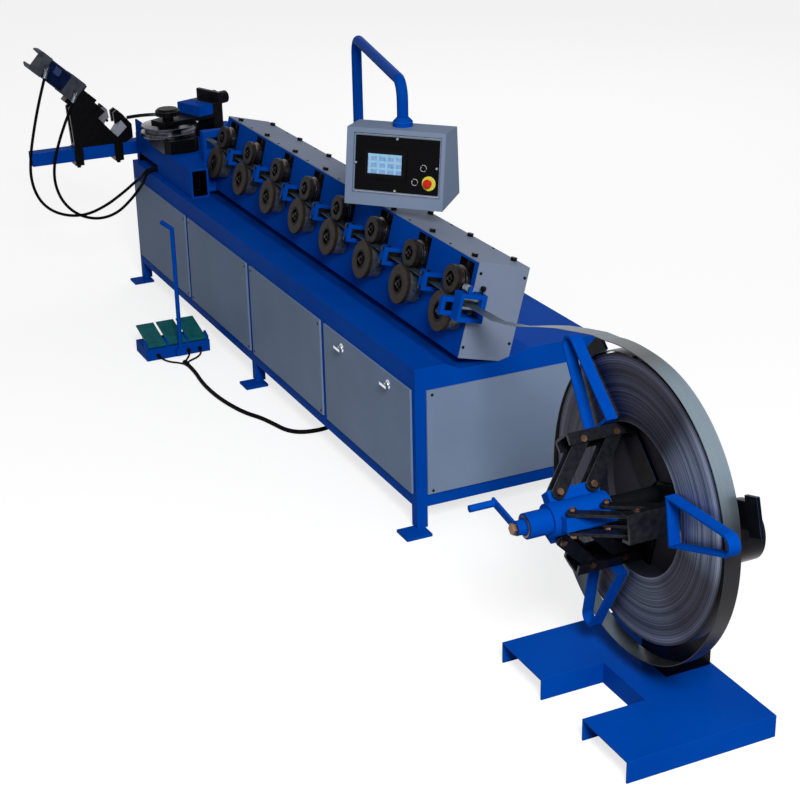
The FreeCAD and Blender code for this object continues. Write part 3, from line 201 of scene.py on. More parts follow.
def ramp_of(tree, factor, stops):
    """Colour ramp over (position, hex code) stops."""
    ramp = put(tree, "ShaderNodeValToRGB", {"Fac": factor})
    while len(ramp.color_ramp.elements) < len(stops):
        ramp.color_ramp.elements.new(0.5)
    for element, (position, code) in zip(ramp.color_ramp.elements, stops):
        element.position = position
        element.color = linear(code)
    return ramp.outputs["Color"]


def noise(tree, at, scale, detail, **sockets):
    """Noise of a scale per metre, over a place, or in one dimension along a distance."""
    along = at.type == "VALUE"
    given = {"W" if along else "Vector": at, "Scale": scale, "Detail": detail, **sockets}
    return put(tree, "ShaderNodeTexNoise", given, noise_dimensions="1D" if along else "3D").outputs["Fac"]


def vary(tree, place, low, high, scale):
    """Colour that drifts between two codes over a noise of the given scale per metre."""
    return ramp_of(tree, noise(tree, place, scale, 4.0), ((0.3, low), (0.7, high)))


def mix_colour(tree, factor, first, second):
    return put(tree, "ShaderNodeMix", {"Factor": factor, 6: first, 7: second}, data_type="RGBA").outputs[2]


def mix_value(tree, factor, first, second):
    """Plain number that goes from first to second with a 0 to 1 factor."""
    return put(tree, "ShaderNodeMapRange", {"Value": factor, "To Min": first, "To Max": second}).outputs[0]


def two_finishes(tree, place, side, first, second, drift):
    """Colour, roughness and metallic share of two finishes, each (low, high, roughness, metallic)."""
    tones = [vary(tree, place, f[0], f[1], drift) for f in (first, second)]
    return (mix_colour(tree, side, *tones), *(mix_value(tree, side, first[k], second[k]) for k in (2, 3)))


def above(tree, place, direction, limit):
    """1 where the place lies past the limit along a direction, else 0."""
    return calc(tree, "GREATER_THAN", vector_calc(tree, "DOT_PRODUCT", place, direction), limit)


def within(tree, place, direction, low, high):
    """1 where the place lies between two limits along a direction, else 0."""
    return fold(tree, "MULTIPLY", above(tree, place, direction, low), above(tree, place, -direction, -high))


def edges_of(tree, radius):
    """1 on the worn arrises of a part and 0 on its flats, and the normal that rounds them."""
    soft = put(tree, "ShaderNodeBevel", {"Radius": radius}, samples=4).outputs[0]
    true = put(tree, "ShaderNodeNewGeometry").outputs["True Normal"]
    same = vector_calc(tree, "DOT_PRODUCT", soft, true)
    edge = put(tree, "ShaderNodeMapRange", {"Value": same, "From Min": 0.995, "From Max": 0.86})
    return edge.outputs[0], soft


def bump(tree, shader, height, strength, depth, normal=None):
    """Bump of a depth in metres, over the rounded arrises if they are given."""
    n = put(tree, "ShaderNodeBump", {"Height": height, "Strength": strength, "Distance": depth})
    if normal is not None:
        tree.links.new(normal, n.inputs["Normal"])
    tree.links.new(n.outputs[0], shader.inputs["Normal"])


def grain(tree, shader, place, scale, strength, depth, normal=None):
    """Fine bump from a noise of the given scale per metre."""
    bump(tree, shader, noise(tree, place, scale, 2.0), strength, depth, normal)


def coated(name, low, high, edge_code, roughness, drift=3.0, peel=250.0, depth=0.0006, edge=0.0015, **shine):
    """Sprayed or baked coat on steel: drifting tone, orange peel, arrises worn to a paler tone."""
    m, tree, shader, place = start_material(name, roughness, **shine)
    worn, rounded = edges_of(tree, edge)
    feed(tree, shader, mix_colour(tree, worn, vary(tree, place, low, high, drift), linear(edge_code)))
    grain(tree, shader, place, peel, 0.12, depth, rounded)
    return m


def two_tone(name, first, second, mask, edge_code="#3a3c42", drift=20.0):
    """One part in two finishes, split where mask says."""
    m, tree, shader, place = start_material(name, 0.4, gloss=0.004)
    tone, *metal = two_finishes(tree, place, mask(tree, place), first, second, drift)
    worn, rounded = edges_of(tree, 0.0012)
    feed(tree, shader, mix_colour(tree, worn, tone, linear(edge_code)), *metal)
    grain(tree, shader, place, 500.0, 0.12, 0.0004, rounded)
    return m


# Places that finishes and pieces share, in metres

TILT = math.radians(14.54)
FACE = Vector((0.0, -0.2145, 0.712))
OUT = Vector((0.0, -math.cos(TILT), math.sin(TILT)))
RISE = Vector((0.0, math.sin(TILT), math.cos(TILT)))
STATION_X = -0.859
STATION_PITCH = 0.3677
LOWER_SHAFT = 0.1575
UPPER_SHAFT = 0.291
COIL_X, COIL_Z = 3.205, 0.725
COIL = Vector((COIL_X, 0.0, COIL_Z))
SHEAR_ANGLE = math.radians(43)
SHEAR_AT = Vector((-1.8525, -0.706, 1.135))
SHEAR_DOWN = Vector((0.0, math.cos(SHEAR_ANGLE), -math.sin(SHEAR_ANGLE)))
PRESS_ANGLE = math.radians(20)
PRESS_OUT = Vector((-math.sin(PRESS_ANGLE), math.cos(PRESS_ANGLE), 0.0))
BEND_AT = Vector((-1.405, -0.31, 0.925))
ALONG, BACK, UP = Vector((1, 0, 0)), Vector((0, 1, 0)), Vector((0, 0, 1))


def face_turn():
    """From the pendant's sloping front, in (out, across, up from its top edge), to the machine."""
    place = Matrix.Translation((1.031, -0.065, 1.45)) @ Matrix.Rotation(math.radians(-47.3), 4, "Z")
    return place @ Matrix.Translation((0.075, 0, 0)) @ Matrix.Rotation(math.radians(-9.9), 4, "Y")


# Where the second finish of a part begins

def past(direction, limit):
    """Mask past a limit along one of the machine's axes."""
    return lambda tree, place: above(tree, place, direction, limit)


def in_stand_range(inward=None, height=None):
    """Mask between limits inward from the stand's face and up it."""
    def mask(tree, place):
        return fold(tree, "MULTIPLY", *(
            within(tree, place, way, FACE.dot(way) + limits[0], FACE.dot(way) + limits[1])
            for way, limits in ((-OUT, inward), (RISE, height)) if limits is not None))
    return mask


def inside_box(low, high):
    """Mask for the inner faces of a hollow between two corners."""
    def mask(tree, place):
        return fold(tree, "MULTIPLY", *(within(tree, place, axis, a, b)
                                        for axis, a, b in zip((ALONG, BACK, UP), low, high)))
    return mask


def every(operation, *parts):
    """Mask from others: MULTIPLY where all of them say so, MAXIMUM where any does."""
    return lambda tree, place: fold(tree, operation, *(part(tree, place) for part in parts))


def from_station(tree, place):
    """Distance along the stand from the nearest station."""
    x = calc(tree, "SUBTRACT", axes_of(tree, place)[0], STATION_X)
    return calc(tree, "ABSOLUTE", calc(tree, "WRAP", x, STATION_PITCH / 2, -STATION_PITCH / 2))


def near_station(tree, place):
    """Mask for the half width of a bearing window about each station."""
    return calc(tree, "LESS_THAN", from_station(tree, place), 0.0583)


def barrel_mask(tree, place):
    """The barrel between the shear cylinder's two blocks."""
    start = SHEAR_AT.dot(SHEAR_DOWN)
    return within(tree, place, SHEAR_DOWN, start - 0.1939, start - 0.0521)


# Painted shade: behind the bearing windows, 20 mm behind the front plate's face, and then the windows' cut
# sides in that plate, which take a black finish for the shade inside the windows
HOUSING_WALL_SHADE = in_stand_range(inward=(-0.01, 0.0215))
WINDOW_SIDES_SHADE = every("MULTIPLY", near_station, in_stand_range(inward=(0.0006, 0.03), height=(0.2437, 0.3743)))
# The two rollers inside the entry guide's frame
ENTRY_ROLLERS = in_stand_range(inward=(-0.0677, 0.0137), height=(0.1783, 0.2537))
# The inner faces of the end platform's strip opening and of its hose opening, near black as painted shade
PLATFORM_HOLLOW_SHADE = every("MAXIMUM", inside_box((-1.001, -0.3675, 0.7085), (-0.8805, -0.2895, 0.8435)),
                         inside_box((-1.7705, -0.3765, 0.6985), (-1.4395, -0.2865, 0.7495)))
# The painted body of the press cylinder, above the black bridge
PRESS_BODY = every("MULTIPLY", past(-PRESS_OUT, -BEND_AT.dot(PRESS_OUT) - 0.236), past(UP, 1.0046))
RAM_SLIDE = past(UP, 1.012)
ROLL_CAP = past(UP, 1.0030)
PENDANT_COLLAR = past(UP, 1.4503)
SPINDLE = past(BACK, -0.4148)
# Painted shade: the rear arms take the black steel finish where they lie in shade behind the front arms.
REAR_ARMS_SHADE = past(BACK, -0.28)


# Finishes

BLUE = ("#0043a6", "#004bb2")
BLUE_EDGE = "#1259b4"
BLUE_COAT = (*BLUE, 0.46, 0.0)
# Black steel finish of real black parts, also used as painted shade on the rear arms and behind the bearing
# windows.
BLACK_STEEL_AND_SHADE = ("#0b0b0e", "#17171b", 0.42, 0.5)


def blue_enamel():
    """Sprayed alkyd enamel on sheet steel: soft gloss over a faint orange peel of 4 mm."""
    return coated("blue_enamel", *BLUE, BLUE_EDGE, 0.46, gloss=0.008)


def blue_and(name, other, mask):
    """Blue part with a second finish where mask says."""
    return two_tone(name, BLUE_COAT, other, mask, BLUE_EDGE, 3.0)


def powder_coat(name, low, high, edge_code, roughness=0.5, gloss=0.02):
    """Baked polyester powder on sheet steel: even and matt, with a 2 mm texture."""
    return coated(name, low, high, edge_code, roughness, 2.0, 500.0, 0.0004, gloss=gloss)


def teal_enamel():
    """Hammered teal enamel on folded pedals: paler patches 40 mm across."""
    return coated("teal_hammer_enamel", "#0d5257", "#16666b", "#3d858c", 0.4, 25.0, 180.0, 0.0012, gloss=0.08)


def black_oxide(name, low, high, roughness=0.42, edge_code="#34353b"):
    """Blackened machined steel: near black, with paler rubbed patches 20 mm across."""
    return coated(name, low, high, edge_code, roughness, 50.0, 700.0, 0.0003, 0.001, metallic=0.6, gloss=0.15)


def bright_metal(name, low, high, roughness):
    """Plated or polished metal: clean reflections, with faint cloudy wear."""
    m, tree, shader, place = start_material(name, roughness, 1.0)
    feed(tree, shader, vary(tree, place, low, high, 30.0))
    grain(tree, shader, place, 900.0, 0.05, 0.0002)
    return m


def rolled_strip(name, low, high, across, roughness, metallic=1.0):
    """Cold-rolled galvanised strip: fine lines lie along it, about 1 mm apart across its width."""
    m, tree, shader, place = start_material(name, roughness, metallic, 0.15)
    lines = noise(tree, vector_calc(tree, "DOT_PRODUCT", place, across), 900.0, 3.0)
    feed(tree, shader, ramp_of(tree, lines, ((0.25, low), (0.75, high))))
    bump(tree, shader, lines, 0.15, 0.0003)
    return m


def about_axis(tree, place):
    """Distance from the coil's axis, and the direction out from it."""
    flat = vector_calc(tree, "MULTIPLY", vector_calc(tree, "SUBTRACT", place, COIL), (1, 0, 1))
    return vector_calc(tree, "LENGTH", flat), vector_calc(tree, "NORMALIZE", flat)


def painted_glint_sectors(tree, way, *highlight_sectors):
    """Painted highlights: sectors of lighter colour about the coil's axis, each (degrees, spread in degrees,
    share).
    """
    made = []
    for degrees, spread, share in highlight_sectors:
        a = math.radians(degrees)
        near = vector_calc(tree, "DOT_PRODUCT", way, (math.cos(a), 0.0, math.sin(a)))
        highlight_sector = {"Value": near, "From Min": math.cos(math.radians(spread)), "To Max": share}
        made.append(put(tree, "ShaderNodeMapRange", highlight_sector, interpolation_type="SMOOTHSTEP").outputs[0])
    return fold(tree, "MAXIMUM", *made)


def wound_strip():
    """Edges of the wound turns: arcs of a few turns together, 8 mm apart, darker and lighter by turns, with
    painted highlights in two sectors about the axis and painted shade elsewhere.
    """
    m, tree, shader, place = start_material("wound_strip_edges", 0.48, 0.9)
    reach, way = about_axis(tree, place)
    fine = noise(tree, reach, 150.0, 6.0, Roughness=0.8)
    blend = calc(tree, "ADD", calc(tree, "MULTIPLY", noise(tree, reach, 30.0, 1.0), 0.4), fine)
    # Painted shade and painted highlight: a darker and a lighter copy of the same ring tones, mixed by the
    # painted highlight sectors below.
    shaded_tone = ramp_of(tree, blend, ((0.45, "#0e0d13"), (0.62, "#171823"), (0.72, "#222432"), (0.92, "#4c4f63")))
    highlight_tone = ramp_of(tree, blend, ((0.45, "#343848"), (0.62, "#565f78"), (0.74, "#7886a0"), (0.92, "#b3bccc")))
    highlight_sectors = painted_glint_sectors(tree, way, (22.0, 38.0, 0.9), (-78.0, 34.0, 0.2))
    feed(tree, shader, mix_colour(tree, highlight_sectors, shaded_tone, highlight_tone))
    bump(tree, shader, fine, 0.5, 0.0015)
    return m


def loose_strip():
    """Loose turn of galvanised strip: lines along it, with a painted highlight where it faces up and right,
    and painted shade below.
    """
    m, tree, shader, place = start_material("galvanised_loop", 0.34, 0.0, 0.15)
    way = about_axis(tree, place)[1]
    lines = noise(tree, axes_of(tree, place)[1], 700.0, 3.0)
    # Painted shade and painted highlight: a darker and a lighter copy of the line tones; the metallic share
    # follows the painted highlight, so the painted shade reflects less.
    shaded_tone = ramp_of(tree, lines, ((0.3, "#17171a"), (0.7, "#2c2c30")))
    highlight_tone = ramp_of(tree, lines, ((0.25, "#5d6c78"), (0.75, "#9fb0bc")))
    highlight_sectors = painted_glint_sectors(tree, way, (50.0, 44.0, 1.0), (105.0, 60.0, 0.08), (-112.0, 35.0, 0.45))
    feed(tree, shader, mix_colour(tree, highlight_sectors, shaded_tone, highlight_tone), metallic=mix_value(tree, highlight_sectors, 0.3, 1.0))
    bump(tree, shader, lines, 0.15, 0.0003)
    return m


def roll_finish(name, disc_from, recess, disc, drum, shaft, hub):
    """A roll's turned drum and its darker outer disc, whose recess and hub of a radius are black.

    The disc and its recess begin at these distances out of the stand's face; the shaft is at a height up it.
    """
    m, tree, shader, place = start_material(name, 0.3, 0.0, 0.05)
    start = FACE.dot(OUT)
    is_disc = above(tree, place, OUT, start + disc_from)
    in_recess = within(tree, place, OUT, start + recess - 0.0004, start + recess + 0.0004)
    rise = calc(tree, "SUBTRACT", vector_calc(tree, "DOT_PRODUCT", place, RISE), FACE.dot(RISE) + shaft)
    spot = put(tree, "ShaderNodeCombineXYZ", {0: from_station(tree, place), 1: rise}).outputs[0]
    in_hub = calc(tree, "LESS_THAN", vector_calc(tree, "LENGTH", spot), hub)
    black = calc(tree, "MAXIMUM", in_recess, calc(tree, "MULTIPLY", is_disc, in_hub))
    tone, *metal = two_finishes(tree, place, is_disc, drum, disc, 60.0)
    worn, rounded = edges_of(tree, 0.001)
    tone = mix_colour(tree, black, tone, linear("#070708"))
    feed(tree, shader, mix_colour(tree, worn, tone, linear("#5d554d")), *metal)
    grain(tree, shader, place, 600.0, 0.15, 0.0003, rounded)
    return m


def screen_picture():
    """Lit operator screen behind glass: pale blue, with rows of soft plain tiles."""
    m, tree, shader, place = start_material("lit_screen_glass", 0.12)
    turn = face_turn().inverted()
    mapped = put(tree, "ShaderNodeMapping", {"Vector": place, "Rotation": turn.to_euler("XYZ"),
                                             "Location": turn.to_translation()}).outputs[0]
    split = axes_of(tree, mapped)
    flat = put(tree, "ShaderNodeCombineXYZ", {0: split[1], 1: split[2]})
    tiles = put(tree, "ShaderNodeTexBrick", {
        "Vector": flat.outputs[0], "Color1": linear("#5c8cc2"), "Color2": linear("#7f98cb"),
        "Mortar": linear("#8fc2e2"), "Scale": 1.0, "Mortar Size": 0.006, "Mortar Smooth": 0.5,
        "Brick Width": 0.0375, "Row Height": 0.0273}, offset=0.0)
    tints = ((0.35, "#4f98ba"), (0.5, "#8abedd"), (0.65, "#9da0d2"))
    tint = ramp_of(tree, noise(tree, mapped, 60.0, 1.0), tints)
    picture = mix_colour(tree, 0.35, tiles.outputs["Color"], tint)
    feed(tree, shader, picture)
    tree.links.new(picture, shader.inputs["Emission Color"])
    shader.inputs["Emission Strength"].default_value = 0.15
    return m


FINISH = {
    "blue_paint": blue_enamel(),
    "panel_grey": powder_coat("grey_powder_coat", "#7587a2", "#8092ae", "#93a2b8"),
    "cover_grey": powder_coat("cover_powder_coat", "#78859d", "#828fa9", "#97a2b6"),
    "pendant_grey": two_tone("pendant_powder_coat", ("#7888a3", "#8292ab", 0.5, 0.0), BLUE_COAT,
                             PENDANT_COLLAR, "#8d9bb4", 2.0),
    "black_panel": powder_coat("black_polyester_overlay", "#040406", "#09090b", "#1c1d20", 0.32, 0.05),
    "chrome_parts": bright_metal("chromed_zinc", "#d6d8dc", "#e8eaee", 0.08),
    "roll_steel": roll_finish("lower_roll_steel", 0.0625, 0.071, ("#27221f", "#352e2a", 0.5, 0.3),
                              ("#454b51", "#70777e", 0.3, 0.5), LOWER_SHAFT, 0.044),
    "dark_steel": black_oxide("black_oxide_steel", "#08080a", "#111114"),
    "strip_steel": rolled_strip("galvanised_strip", "#2c3a45", "#4d5e6b", (0.0, 0.968, -0.251), 0.34, 0.4),
    "coil_steel": wound_strip(),
    "cylinder_grey": two_tone("shear_cylinder_paint", ("#3c4048", "#50545d", 0.45, 0.2),
                              ("#0c1632", "#152248", 0.25, 0.0), barrel_mask, "#6a6f78"),
    "pedal_teal": teal_enamel(),
    "hose_rubber": powder_coat("black_hose_rubber", "#08080a", "#101013", "#101013", 0.55),
}
OWN = {
    "upper_roll": roll_finish("upper_roll_steel", 0.0365, 0.0505, ("#1d1a19", "#2a2624", 0.46, 0.3),
                              ("#3b3633", "#66605a", 0.26, 0.95), UPPER_SHAFT, 0.032),
    # Housing wall behind the windows in black as painted shade.
    "roll_housing": blue_and("housing_paint_and_window_shade", BLACK_STEEL_AND_SHADE, HOUSING_WALL_SHADE),
    # Cut sides of the windows in black as painted shade.
    "front_plate": blue_and("front_plate_paint_and_window_shade", ("#08080b", "#101013", 0.5, 0.2), WINDOW_SIDES_SHADE),
    "entry_guide": blue_and("entry_guide_paint", ("#4c5157", "#888e95", 0.32, 0.9), ENTRY_ROLLERS),
    # Inner faces of the platform's openings near black as painted shade.
    "end_platform": blue_and("platform_paint_and_hollow_shade", ("#050507", "#0a0a0c", 0.6, 0.0), PLATFORM_HOLLOW_SHADE),
    "mandrel": blue_and("mandrel_paint", ("#101114", "#24262b", 0.4, 0.6), SPINDLE),
    # Rear arms in black as painted shade.
    "mandrel_arms": two_tone("arm_paint_and_rear_shade", BLUE_COAT, BLACK_STEEL_AND_SHADE, REAR_ARMS_SHADE, "#2a66b4"),
    "mandrel_segments": black_oxide("segment_black", "#14151a", "#26282f", 0.36, "#5a5c66"),
    "decoiler_pedestal": black_oxide("black_enamel", "#07070a", "#101014", 0.3),
    "strip_loop": loose_strip(),
    "formed_flange": rolled_strip("formed_strip", "#3e4148", "#7e828c", (0.0, 0.0, 1.0), 0.24),
    "press_cylinder": two_tone("press_paint", BLACK_STEEL_AND_SHADE, BLUE_COAT, PRESS_BODY, "#3a3f4c"),
    "bending_roll": two_tone("bending_roll_steel", ("#25262b", "#4d4d56", 0.2, 1.0), BLACK_STEEL_AND_SHADE, ROLL_CAP,
                             "#8b8c94", 45.0),
    "shear_ram": two_tone("ram_steel", ("#77767f", "#918f9a", 0.4, 0.2), BLACK_STEEL_AND_SHADE, RAM_SLIDE, "#8b8c94"),
    "shear_dies": powder_coat("ground_die_steel", "#8f93a0", "#b3b7c2", "#d0d2d8", 0.35, 0.3),
}
SMALL = {
    "screw_black": black_oxide("black_socket_screw", "#050506", "#0c0c0e", 0.35),
    "zinc": bright_metal("zinc_plated_steel", "#5a6268", "#838b92", 0.36),
    "bronze": bright_metal("oiled_bronze", "#4e3a30", "#8a6a55", 0.4),
    "aluminium": bright_metal("anodised_aluminium", "#8a929c", "#a2a9b2", 0.35),
    "knob_black": powder_coat("moulded_nylon", "#0a0a0b", "#131314", "#2a2a2c", 0.4),
    "white": powder_coat("white_nylon", "#c6c8ca", "#d4d6d8", "#e0e0e0", 0.4),
    "stop_yellow": powder_coat("yellow_nylon", "#d8cf3e", "#e6dd50", "#efe870", 0.4),
    "stop_red": powder_coat("red_nylon", "#c41f1c", "#d82a26", "#e8564e", 0.35),
    "screen": screen_picture(),
    "plate": powder_coat("bare_foil_plate", "#34426a", "#3c4a74", "#4c5a84", 0.35, 0.05),
    # Dark tone of the dish behind the coil: painted shade for the view through the coil's bore.
    "dish": powder_coat("bore_shade_black_dish", "#2b2931", "#38363f", "#45434c", 0.6, 0.05),
    "insert": black_oxide("oiled_guide_block", "#141110", "#2b2522", 0.4),
}


def dress_nodes():
    """Give every CAD node its own finish from its slot in the record."""
    for part in frame["record"]["subparts"]:
        name = part["node"]
        mesh = nodes[name].data
        mesh.materials.clear()
        own = OWN.get("upper_roll" if name.startswith("upper_roll") else name)
        mesh.materials.append(own or FINISH[part["material_slot"]])


dress_nodes()


# Laying the cords

def lay_cords():
    """Two hydraulic hoses, and the pedals' cable with its three leads."""
    rubber = FINISH["hose_rubber"]
    for k, (route, length) in enumerate(zip(HOSES, HOSE_LENGTHS)):
        hose = cord_curve("hydraulic_hose_%d" % (k + 1), route, HOSE_R, rubber)
        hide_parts("hose_%d" % (k + 1))
    boot = cable_boot()
    cable = cord_curve("pedal_box_cable", CABLE, CABLE_R, rubber)
    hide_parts("pedal_cable")
    for k, (route, length) in enumerate(zip(PEDAL_LEADS, LEAD_LENGTHS)):
        lead = cord_curve("pedal_lead_%d" % (k + 1), route, LEAD_R, rubber)
        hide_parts("pedal_cable")


# Mesh tools

def finish_piece(name, bm, body, finish, smooth=35.0):
    """Turn a bmesh into a piece that rides on a body, with outward faces and shading by angle."""
    bmesh.ops.remove_doubles(bm, verts=bm.verts, dist=1e-6)
    bmesh.ops.recalc_face_normals(bm, faces=bm.faces)
    for face in bm.faces:
        face.smooth = True
    for edge in bm.edges:
        edge.smooth = not edge.is_manifold or edge.calc_face_angle(0.0) < math.radians(smooth)
    mesh = bpy.data.meshes.new(name)
    bm.to_mesh(mesh)
    bm.free()
    mesh.materials.append(finish)
    piece = add_object(name, mesh)
    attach(piece, body)
    return piece


def skin(bm, loops):
    """Join loops of as many points each into one closed shell."""
    rings = [[bm.verts.new(p) for p in loop] for loop in loops]
    count = len(rings[0])
    for a, b in zip(rings, rings[1:]):
        for i in range(count):
            j = (i + 1) % count
            bm.faces.new((a[i], a[j], b[j], b[i]))
    bm.faces.new(rings[0])
    bm.faces.new(rings[-1])


def turned(bm, at, along, outline, sides, spin=0.0):
    """Solid of revolution from (radius, distance) pairs along an axis through a point."""
    turn = Vector(along).to_track_quat("Z", "Y").to_matrix()
    loops = []
    for radius, reach in outline:
        loop = []
        for k in range(sides):
            a = 2 * math.pi * k / sides + spin
            loop.append(Vector(at) + turn @ Vector((radius * math.cos(a), radius * math.sin(a), reach)))
        loops.append(loop)
    skin(bm, loops)


def turned_piece(name, body, finish, at, along, outline, sides, spin=0.0, smooth=35.0):
    """One piece that is one solid of revolution."""
    bm = bmesh.new()
    turned(bm, at, along, outline, sides, spin)
    finish_piece(name, bm, body, finish, smooth)


def rounded_loop(centre, half, radius, reach):
    """Rounded rectangle on the pendant's face, reach off the panel."""
    steps = 5
    points = []
    for sy, ss, start in ((1, 1, 0), (-1, 1, 90), (-1, -1, 180), (1, -1, 270)):
        for k in range(steps + 1):
            a = math.radians(start + 90 * k / steps)
            y = centre[0] + sy * (half[0] - radius) + radius * math.cos(a)
            s = -centre[1] + ss * (half[1] - radius) + radius * math.sin(a)
            points.append(face_turn() @ Vector((PANEL_FACE + reach, y, s)))
    return points


def slab(bm, low, high, chamfer, turn):
    """Block with chamfered arrises between two corners of a frame, taken to the machine by a turn."""
    c = (Vector(low) + Vector(high)) / 2
    size = Vector(high) - Vector(low)
    made = bmesh.ops.create_cube(bm, size=1.0)["verts"]
    for v in made:
        v.co = c + Vector((v.co.x * size.x, v.co.y * size.y, v.co.z * size.z))
    sides = [e for e in bm.edges if all(v in made for v in e.verts)]
    grown = bmesh.ops.bevel(bm, geom=sides, offset=chamfer, segments=2, profile=0.7, affect="EDGES")
    for v in set(made) | set(grown["verts"]):
        if v.is_valid:
            v.co = turn @ v.co


# Fasteners, by Geometry Nodes

def fastener_tree(finish, sides, radius, height, share, depth):
    """Heads at points: a prism with a socket drilled to a depth, set along each point's own direction."""
    tree = bpy.data.node_groups.new("fasteners", "GeometryNodeTree")
    for label, way in (("Places", "INPUT"), ("Heads", "OUTPUT")):
        tree.interface.new_socket(label, in_out=way, socket_type="NodeSocketGeometry")
    blank = put(tree, "GeometryNodeMeshCylinder", {"Vertices": sides, "Radius": radius, "Depth": height},
                fill_type="NGON")
    narrow = put(tree, "GeometryNodeExtrudeMesh", {
        "Mesh": blank.outputs["Mesh"], "Selection": blank.outputs["Top"], "Offset Scale": 0.0}, mode="FACES")
    shrunk = put(tree, "GeometryNodeScaleElements", {
        "Geometry": narrow.outputs["Mesh"], "Selection": narrow.outputs["Top"], "Scale": share},
        domain="FACE")
    drilled = put(tree, "GeometryNodeExtrudeMesh", {
        "Mesh": shrunk.outputs["Geometry"], "Selection": narrow.outputs["Top"], "Offset Scale": -depth},
        mode="FACES")
    head = put(tree, "GeometryNodeTransform", {
        "Geometry": drilled.outputs["Mesh"], "Translation": (0, 0, height / 2)})
    aim = put(tree, "GeometryNodeInputNamedAttribute", {"Name": "aim"}, data_type="FLOAT_VECTOR")
    turn = put(tree, "FunctionNodeAlignRotationToVector", {"Vector": aim.outputs["Attribute"]}, axis="Z")
    spread = put(tree, "GeometryNodeInstanceOnPoints", {
        "Points": put(tree, "NodeGroupInput").outputs["Places"], "Instance": head.outputs["Geometry"],
        "Rotation": turn.outputs[0]})
    solid = put(tree, "GeometryNodeRealizeInstances", {"Geometry": spread.outputs[0]})
    dressed = put(tree, "GeometryNodeSetMaterial", {"Geometry": solid.outputs[0], "Material": finish})
    flat = put(tree, "GeometryNodeSetShadeSmooth", {"Geometry": dressed.outputs[0], "Shade Smooth": False})
    put(tree, "NodeGroupOutput", {"Heads": flat.outputs[0]})
    return tree


def fasteners(name, body, places, finish, *sizes):
    """One plain mesh of heads on one body, from (point, direction) pairs.

    The sizes are the number of sides, radius, height, and the socket's share of the head and its depth.
    """
    mesh = bpy.data.meshes.new(name + "_places")
    mesh.from_pydata([tuple(at) for at, _ in places], [], [])
    aim = mesh.attributes.new("aim", "FLOAT_VECTOR", "POINT")
    for k, (_, direction) in enumerate(places):
        aim.data[k].vector = direction
    carrier = add_object(name + "_places", mesh)
    tree = fastener_tree(finish, *sizes)
    modifier = carrier.modifiers.new("heads", "NODES")
    modifier.node_group = tree
    bpy.context.view_layer.update()
    seen = carrier.evaluated_get(bpy.context.evaluated_depsgraph_get())
    made = bpy.data.meshes.new_from_object(seen)
    made.name = name
    carrier.modifiers.remove(modifier)
    bpy.data.objects.remove(carrier)
    bpy.data.node_groups.remove(tree)
    piece = add_object(name, made)
    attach(piece, body)


def in_stand(x, inward, height):
    """Point of the tilted roll stand, in metres: inward from its front face, height up it."""
    return Vector((x, 0, 0)) + FACE + RISE * height - OUT * inward


STATIONS = [STATION_X + STATION_PITCH * k for k in range(8)]
GUIDE_STEP = 0.19
PANEL_RIGHTS = [1.782 - 0.9 * k for k in range(4)]
PANEL_SCREWS_IN = (0.838, 0.017)
PANEL_SCREWS_UP = (0.176, 0.585)
SIDE_Y = 0.415
END_X = 1.821
COVER_TOP = 0.388
COVER_END_X = 1.808


def panel_screws():
    """Button screws in the corners of the fixed panels, front, back and ends."""
    places = []
    for side, rights in ((-1, PANEL_RIGHTS[1:]), (1, PANEL_RIGHTS)):
        for right in rights:
            for inset in PANEL_SCREWS_IN:
                for z in PANEL_SCREWS_UP:
                    places.append(((right - inset, side * SIDE_Y, z), (0, side, 0)))
    for end in (-1, 1):
        for y in (-0.337, 0.337):
            for z in (0.172, 0.585):
                places.append(((end * END_X, y, z), (end, 0, 0)))
    fasteners("panel_screws", "machine", places, SMALL["screw_black"], 12, 0.0058, 0.0026, 0.5, 0.0012)


def cover_screws():
    """Cover screws between the adjusting screws, and four in the stand's end cover."""
    places = []
    for a, b in zip(STATIONS, STATIONS[1:]):
        for inward in (0.014, 0.214):
            places.append((in_stand((a + b) / 2, inward, COVER_TOP), RISE))
    for inward, height in ((0.014, 0.345), (0.214, 0.345), (0.214, 0.075), (0.010, 0.045)):
        places.append((in_stand(COVER_END_X, inward, height), (1, 0, 0)))
    fasteners("cover_screws", "machine", places, SMALL["screw_black"], 12, 0.0062, 0.003, 0.5, 0.0014)


def machine_bolts():
    """Hex bolts of the shear, bending head, guides, drum and pendant foot."""
    places = []
    for y, z in ((-0.70, 0.83), (-0.62, 0.83), (-0.54, 0.83), (-0.46, 0.83), (-0.68, 1.03), (-0.655, 1.07),
                 (-0.535, 0.94), (-0.44, 0.94)):
        places += [((-1.8125, y, z), (1, 0, 0)), ((-1.8925, y, z), (-1, 0, 0))]
    for x, y in ((-1.516, -0.378), (-1.256, -0.378), (-1.516, -0.212), (-1.256, -0.212)):
        places.append(((x, y, 0.9247), UP))
    drum_x, drum_y, drum_z, circle = 3.25, 0.11, 0.545, 0.086
    for k in range(6):
        a = math.radians(60 * k + 15)
        places.append(((drum_x + circle * math.cos(a), drum_y, drum_z + circle * math.sin(a)), BACK))
    for x in (0.012, 0.124):
        for y in (0.129, 0.206):
            places.append(((x, y, 0.711), UP))
    for x in STATIONS[:-1]:
        places.append((in_stand(x + GUIDE_STEP, -0.06, 0.268), RISE))
        for height in (0.2015, 0.2595):
            places.append((in_stand(x + GUIDE_STEP, -0.085, height), OUT))
    fasteners("machine_bolts", "machine", places, SMALL["screw_black"], 6, 0.0085, 0.006, 0.3, 0.0006)


